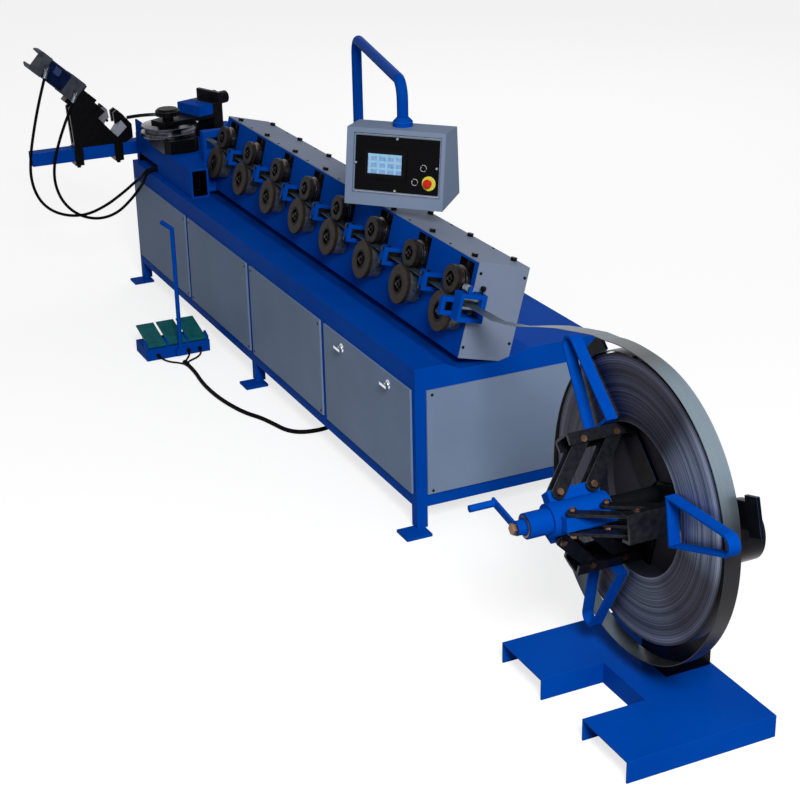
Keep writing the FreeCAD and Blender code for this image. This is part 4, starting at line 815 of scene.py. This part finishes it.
def about_coil(radius, y, across, degrees):
    """Point on a mandrel segment laid along +X and then turned about the coil's axis."""
    a = math.radians(degrees)
    x = radius * math.cos(a) - across * math.sin(a)
    z = radius * math.sin(a) + across * math.cos(a)
    return Vector((COIL_X + x, y, COIL_Z + z)), Vector((-math.sin(a), 0, math.cos(a)))


def mandrel_nuts():
    """Bronze hex nuts on both ends of the link pins of the mandrel's three segments."""
    nuts = []
    for degrees in (10.0, 130.0, 250.0):
        for radius, y in ((0.072, -0.572), (0.072, -0.449), (0.221, -0.432), (0.221, -0.309)):
            for side in (-1, 1):
                point, out = about_coil(radius, y, side * 0.040, degrees)
                nuts.append((point, out * side))
    fasteners("link_pin_nuts", "mandrel_body", nuts, SMALL["bronze"], 6, 0.0125, 0.008, 0.55, 0.001)


# Pieces on the operator's pendant, at (across, down) from its face's top edge

PANEL_FACE = -0.008
KNOBS = ((0.126, 0.148), (0.090, 0.208))
KNOB_TILT = math.radians(35.0)
STOP = ((0.151, 0.209),)
CATCHES = ((0.007, 0.037), (0.185, 0.145), (0.004, 0.251), (-0.175, 0.145))


def panel_piece(name, bm, finish):
    """Piece on the pendant that stands for the plain panel."""
    piece = finish_piece(name, bm, "pendant", finish)
    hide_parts("control_panel")


def face_slab(name, across, down, radius, profile, finish):
    """Rounded plate on the pendant's face from (inset, reach off the panel) steps."""
    bm = bmesh.new()
    centre = (sum(across) / 2, sum(down) / 2)
    half = ((across[1] - across[0]) / 2, (down[1] - down[0]) / 2)
    skin(bm, [rounded_loop(centre, (half[0] - inset, half[1] - inset), max(radius - inset, 0.0006), reach)
              for inset, reach in profile])
    panel_piece(name, bm, finish)


def face_turned(name, spots, outline, finish, sides=36):
    """Turned pieces at some spots, from (radius, reach off the panel) pairs."""
    bm = bmesh.new()
    turn = face_turn()
    along = turn.to_3x3() @ ALONG
    for across, down in spots:
        turned(bm, turn @ Vector((PANEL_FACE, across, -down)), along, outline, sides)
    panel_piece(name, bm, finish)


def operator_panel():
    """Panel, screen, rails, two selector knobs, the stop button and the catches."""
    face_slab("operator_panel", (-0.181, 0.192), (0.031, 0.257), 0.004,
              ((0, -0.004), (0, -0.0008), (0.0008, 0)), FINISH["black_panel"])
    face_slab("screen_bezel", (-0.144, 0.050), (0.078, 0.208), 0.007,
              ((0, 0), (0, 0.005), (0.0015, 0.0065), (0.018, 0.0065), (0.021, 0.0045)), FINISH["black_panel"])
    face_slab("operator_screen", (-0.121, 0.029), (0.103, 0.185), 0.001,
              ((0, 0.004), (0, 0.0052), (0.0004, 0.0055)), SMALL["screen"])
    for name, down in (("top_rail", 0.0245), ("bottom_rail", 0.2635)):
        face_slab(name, (-0.184, 0.198), (down - 0.0022, down + 0.0022), 0.0006,
                  ((0, -0.0045), (0, -0.0005), (0.0006, 0)), SMALL["aluminium"])
    face_turned("knob_rings", KNOBS,
                ((0.0148, 0), (0.0148, 0.002), (0.0140, 0.0035), (0.0118, 0.0035), (0.0112, 0.002)),
                FINISH["chrome_parts"])
    face_turned("knob_skirts", KNOBS, ((0.0112, 0), (0.0112, 0.008), (0.0100, 0.0095), (0.006, 0.0095)),
                SMALL["knob_black"])
    knob_grips()
    stop_button()
    face_turned("panel_catches", CATCHES, ((0.0062, 0), (0.0062, 0.006), (0.0048, 0.008), (0.002, 0.0083)),
                SMALL["aluminium"], 20)


def knob_grips():
    """Tapered grip bar of each selector knob, with its white pointer line."""
    grips, lines = bmesh.new(), bmesh.new()
    for across, down in KNOBS:
        place = Matrix.Translation((PANEL_FACE, across, -down)) @ Matrix.Rotation(KNOB_TILT, 4, "X")
        slab(grips, (0.004, -0.0032, -0.0125), (0.020, 0.0032, 0.0125), 0.0012, face_turn() @ place)
        slab(lines, (0.0196, -0.0008, 0.003), (0.0204, 0.0008, 0.0115), 0.0002, face_turn() @ place)
    panel_piece("knob_grips", grips, SMALL["knob_black"])
    panel_piece("knob_pointers", lines, SMALL["white"])


def stop_button():
    """Mushroom head over its yellow disc."""
    face_turned("stop_disc", STOP, ((0.0300, 0), (0.0300, 0.002), (0.0290, 0.003), (0.0150, 0.003)),
                SMALL["stop_yellow"], 48)
    face_turned("stop_collar", STOP, ((0.0140, 0.002), (0.0140, 0.013), (0.012, 0.014)), SMALL["knob_black"])
    face_turned("stop_head", STOP,
                ((0.010, 0.012), (0.0165, 0.0145), (0.0185, 0.018), (0.0182, 0.022), (0.0160, 0.0253),
                 (0.0110, 0.0272), (0.0050, 0.0278)), SMALL["stop_red"], 48)


# Pieces on the roll stand

def roll_bolts():
    """Washer and hex bolt in the hub of each roll."""
    for k, x in enumerate(STATIONS):
        for kind, height, depth, radius in (("lower", LOWER_SHAFT, 0.079, 0.014),
                                            ("upper", UPPER_SHAFT, 0.0605, 0.0125)):
            bm = bmesh.new()
            at = in_stand(x, -depth, height)
            turned(bm, at, OUT, ((radius, -0.001), (radius, 0.002), (radius - 0.001, 0.0025)), 24)
            hex_r = radius * 0.66
            turned(bm, at, OUT, ((hex_r, 0.0025), (hex_r, 0.009), (radius * 0.55, 0.0105)), 6, 0.3 * k)
            body = "%s_roll_%d_body" % (kind, k + 1)
            finish_piece("%s_roll_bolt_%d" % (kind, k + 1), bm, body, SMALL["screw_black"])


def guide_blocks():
    """Blackened guide blocks above and below the strip in each side guide."""
    blocks = bmesh.new()
    turn = Matrix(((-1, 0, 0), OUT, RISE)).transposed().to_4x4()
    for x in STATIONS[:-1]:
        at = Matrix.Translation(FACE + Vector((x + GUIDE_STEP, 0, 0))) @ turn
        for low, high in ((0.2095, 0.2288), (0.2335, 0.2515)):
            slab(blocks, (-0.016, 0.006, low), (0.016, 0.064, high), 0.0015, at)
    finish_piece("guide_blocks", blocks, "machine", SMALL["insert"])


def entry_fittings():
    """Steel roller between two ears on the entry guide's top, and the black knob of its screw."""
    turned_piece("entry_roller", "machine", SMALL["zinc"], in_stand(1.822, -0.045, 0.288),
                 ALONG, ((0.004, -0.003), (0.0155, -0.003), (0.0165, 0.0), (0.0165, 0.034),
                         (0.0155, 0.037), (0.004, 0.037)), 32)
    ears = bmesh.new()
    for x in (1.8125, 1.8600):
        slab(ears, (-0.003, -0.008, -0.010), (0.003, 0.008, 0.022), 0.001,
             Matrix.Translation(in_stand(x + 0.003, -0.045, 0.280)) @ Matrix.Rotation(-TILT, 4, "X"))
    finish_piece("entry_roller_ears", ears, "machine", FINISH["blue_paint"])
    turned_piece("entry_knob", "machine", SMALL["knob_black"], in_stand(1.842, 0.020, 0.272),
                 RISE, ((0.004, -0.001), (0.004, 0.012), (0.010, 0.013), (0.0115, 0.016), (0.0115, 0.027),
                        (0.010, 0.030), (0.004, 0.031)), 20)


def entry_shoe():
    """Outboard steadying block beside the entry guide, with a square blind hole in its near face, most of
    whose depth a black block fills as painted shade.
    """
    bm = bmesh.new()
    at = Matrix.Translation(FACE) @ Matrix(((1, 0, 0), OUT, RISE)).transposed().to_4x4()
    x0, x1, cut = 1.788, 1.8136, 0.0015
    loops = [square_loop(at, x, (0.066, 0.128), (0.168, 0.242), inset)
             for x, inset in ((x0, cut), (x0 + cut, 0.0), (x1 - cut, 0.0), (x1, cut))]
    loops += [square_loop(at, x, (0.080, 0.113), (0.187, 0.223), 0.0) for x in (x1, x0 + 0.006)]
    skin(bm, loops)
    finish_piece("entry_shoe", bm, "machine", FINISH["blue_paint"])
    # Painted shade: a black block filling most of the hole's depth.
    hole_shade_block = bmesh.new()
    slab(hole_shade_block, (x0 + 0.0058, 0.0801, 0.1871), (x0 + 0.0200, 0.1129, 0.2229), 0.0008, at)
    finish_piece("entry_shoe_hole_shade", hole_shade_block, "machine", SMALL["screw_black"])


def square_loop(at, x, out, height, inset):
    """Rectangle across the machine's length in the stand's frame."""
    a, b = out[0] + inset, out[1] - inset
    low, high = height[0] + inset, height[1] - inset
    return [at @ Vector((x, o, h)) for o, h in ((a, low), (b, low), (b, high), (a, high))]


# Pieces at the shear

def ferrules():
    """Zinc-plated crimped ferrule and hex over each hose sleeve, with four rings."""
    bm = bmesh.new()
    bore, full, crimped, length = 0.0085, 0.0118, 0.0112, 0.057
    outline = [(bore, 0.018), (full, 0.018)]
    for k in range(4):
        z = 0.021 + 0.008 * k
        outline += [(full, z), (crimped, z + 0.0015), (crimped, z + 0.004), (full, z + 0.0055)]
    outline += [(full, 0.0555), (0.0105, length), (bore, length)]
    for hose in HOSES:
        seat = Vector(hose[0])
        down = (Vector(hose[1]) - seat).normalized()
        top = seat - down * 0.056
        turned(bm, top, down, outline, 28)
        turned(bm, top, down, ((0.010, -0.002), (0.0150, -0.001), (0.0158, 0.001), (0.0158, 0.015),
                               (0.0150, 0.017), (0.010, 0.018)), 6)
    finish_piece("hose_ferrules", bm, "machine", SMALL["zinc"])


def barrel_plate():
    """Bare rating plate, curved round the barrel's near side."""
    bm = bmesh.new()
    up = ALONG.cross(SHEAR_DOWN).normalized()
    loops = []
    for reach in (-0.152, -0.112):
        loop = []
        for radius, order in ((0.0580, range(9)), (0.0586, reversed(range(9)))):
            for k in order:
                a = math.radians(2 + 5.5 * k)
                loop.append(SHEAR_AT + SHEAR_DOWN * reach + (ALONG * math.cos(a) + up * math.sin(a)) * radius)
        loops.append(loop)
    skin(bm, loops)
    finish_piece("barrel_plate", bm, "machine", SMALL["plate"])


# Pieces on the decoiler

def hub_pieces():
    """Nut and thrust ring at the crank's boss, and the black dish that the coil's bore shows, whose dark tone
    is painted shade for the view through the bore.

    The dish lies over the rear arms' roots, with its rim just behind the coil.
    """
    turned_piece("crank_nut", "crank", SMALL["bronze"], COIL - BACK * 0.738, -BACK,
                 ((0.010, -0.001), (0.0195, 0.0), (0.0205, 0.002), (0.0205, 0.013), (0.0190, 0.015),
                  (0.008, 0.0155)), 6, 0.2, 25.0)
    turned_piece("hub_ring", "mandrel_body", SMALL["bronze"], COIL - BACK * 0.7046, -BACK,
                 ((0.0160, -0.001), (0.0345, 0.0), (0.0355, 0.0012), (0.0355, 0.0036), (0.0345, 0.0048),
                  (0.0160, 0.0050)), 48)
    hole, inside, rim = 0.0300, 0.2640, 0.2700
    # Painted shade: dark dish behind the coil, filling the view through its bore.
    turned_piece("rear_shade_plate", "mandrel_body", SMALL["dish"], COIL - BACK * 0.2462, BACK,
                 ((hole, 0.0284), (inside, 0.0286), (inside, 0.0), (rim, 0.0), (rim, 0.0336),
                  (rim - 0.001, 0.0346), (hole, 0.0348)), 96)


def latch_plates():
    """Round chromed rose under each door latch."""
    bm = bmesh.new()
    for x in (1.1245, 1.5845):
        turned(bm, (x, -SIDE_Y, 0.56), -BACK,
               ((0.0095, 0.0), (0.0195, 0.0), (0.0195, 0.0015), (0.0175, 0.0035), (0.0095, 0.0042)), 36)
    finish_piece("latch_roses", bm, "machine", FINISH["chrome_parts"])


# Pieces on the pedal box

def cable_boot():
    """Moulded boot where the three leads join the cable, flat underneath on the floor."""
    bm = bmesh.new()
    loops = []
    y, z, floor = CABLE[-1][1], 0.0108, 0.0004
    for x, wide, high in ((-0.398, 0.0100, 0.0085), (-0.392, 0.0135, 0.0115), (-0.366, 0.0140, 0.0125),
                          (-0.352, 0.0118, 0.0114), (-0.344, 0.0108, 0.0106)):
        turns = [math.radians(15 * k) for k in range(24)]
        loops.append([Vector((x, y + wide * math.cos(a), max(floor, z + high * math.sin(a)))) for a in turns])
    skin(bm, loops)
    return finish_piece("cable_boot", bm, "machine", SMALL["knob_black"])


def cable_glands():
    """Domed gland and hex where each lead leaves the pedal box."""
    bm = bmesh.new()
    for lead in PEDAL_LEADS:
        at = Vector((-0.510, lead[-1][1], lead[-1][2]))
        turned(bm, at, ALONG, ((0.0115, -0.001), (0.0115, 0.005), (0.0105, 0.006)), 6)
        turned(bm, at, ALONG, ((0.0098, 0.005), (0.0098, 0.012), (0.0085, 0.016), (0.0062, 0.019)), 24)
    finish_piece("cable_glands", bm, "machine", SMALL["knob_black"])


lay_cords()
cable_glands()
panel_screws()
cover_screws()
machine_bolts()
mandrel_nuts()
operator_panel()
roll_bolts()
guide_blocks()
entry_fittings()
ferrules()
barrel_plate()
entry_shoe()
hub_pieces()
latch_plates()


# Studio

WORLD_LIGHT = 0.22
FLOOR_GLOW = 0.74
FLOOR_REACH = 30
LAMPS = (("key", (8.2, -2.3, 5.4), (0.8, 0, 0.6), 2.2, 525),
         ("fill", (-5.0, 4.0, 5.0), (0.0, 0, 0.7), 4.0, 60))


def camera_or_glossy(tree):
    """1 for rays from the camera or a reflection, which see white; 0 for those that light the part."""
    rays = put(tree, "ShaderNodeLightPath").outputs
    return calc(tree, "MAXIMUM", rays["Is Camera Ray"], rays["Is Glossy Ray"])


def set_studio():
    """White floor and backdrop; the soft lamp stands over the camera, so the near end is the brighter."""
    scene = bpy.context.scene
    scene.view_settings.view_transform = "Standard"
    world = bpy.data.worlds.new("studio")
    scene.world = world
    world.use_nodes = True
    tree = world.node_tree
    tree.nodes.clear()
    strength = mix_value(tree, camera_or_glossy(tree), WORLD_LIGHT, 1.0)
    light = put(tree, "ShaderNodeBackground", {"Color": (1, 1, 1, 1), "Strength": strength})
    put(tree, "ShaderNodeOutputWorld", {"Surface": light.outputs[0]})
    mesh = bpy.data.meshes.new("floor")
    corners = [(x * FLOOR_REACH, y * FLOOR_REACH, 0) for x, y in ((-1, -1), (1, -1), (1, 1), (-1, 1))]
    mesh.from_pydata(corners, [], [(0, 1, 2, 3)])
    floor = add_object("floor", mesh)
    m, tree, shader, place = start_material("matt_white_floor", 0.9)
    shader.inputs["Base Color"].default_value = linear("#a8a8a8")
    shader.inputs["Emission Color"].default_value = (1, 1, 1, 1)
    glow = calc(tree, "MULTIPLY", camera_or_glossy(tree), FLOOR_GLOW)
    tree.links.new(glow, shader.inputs["Emission Strength"])
    mesh.materials.append(m)
    for name, at, to, size, power in LAMPS:
        lamp = bpy.data.lights.new(name, "AREA")
        lamp.size = size
        lamp.energy = power
        o = add_object(name, lamp)
        o.location = at
        o.rotation_euler = (Vector(to) - Vector(at)).to_track_quat("-Z", "Y").to_euler()


set_studio()
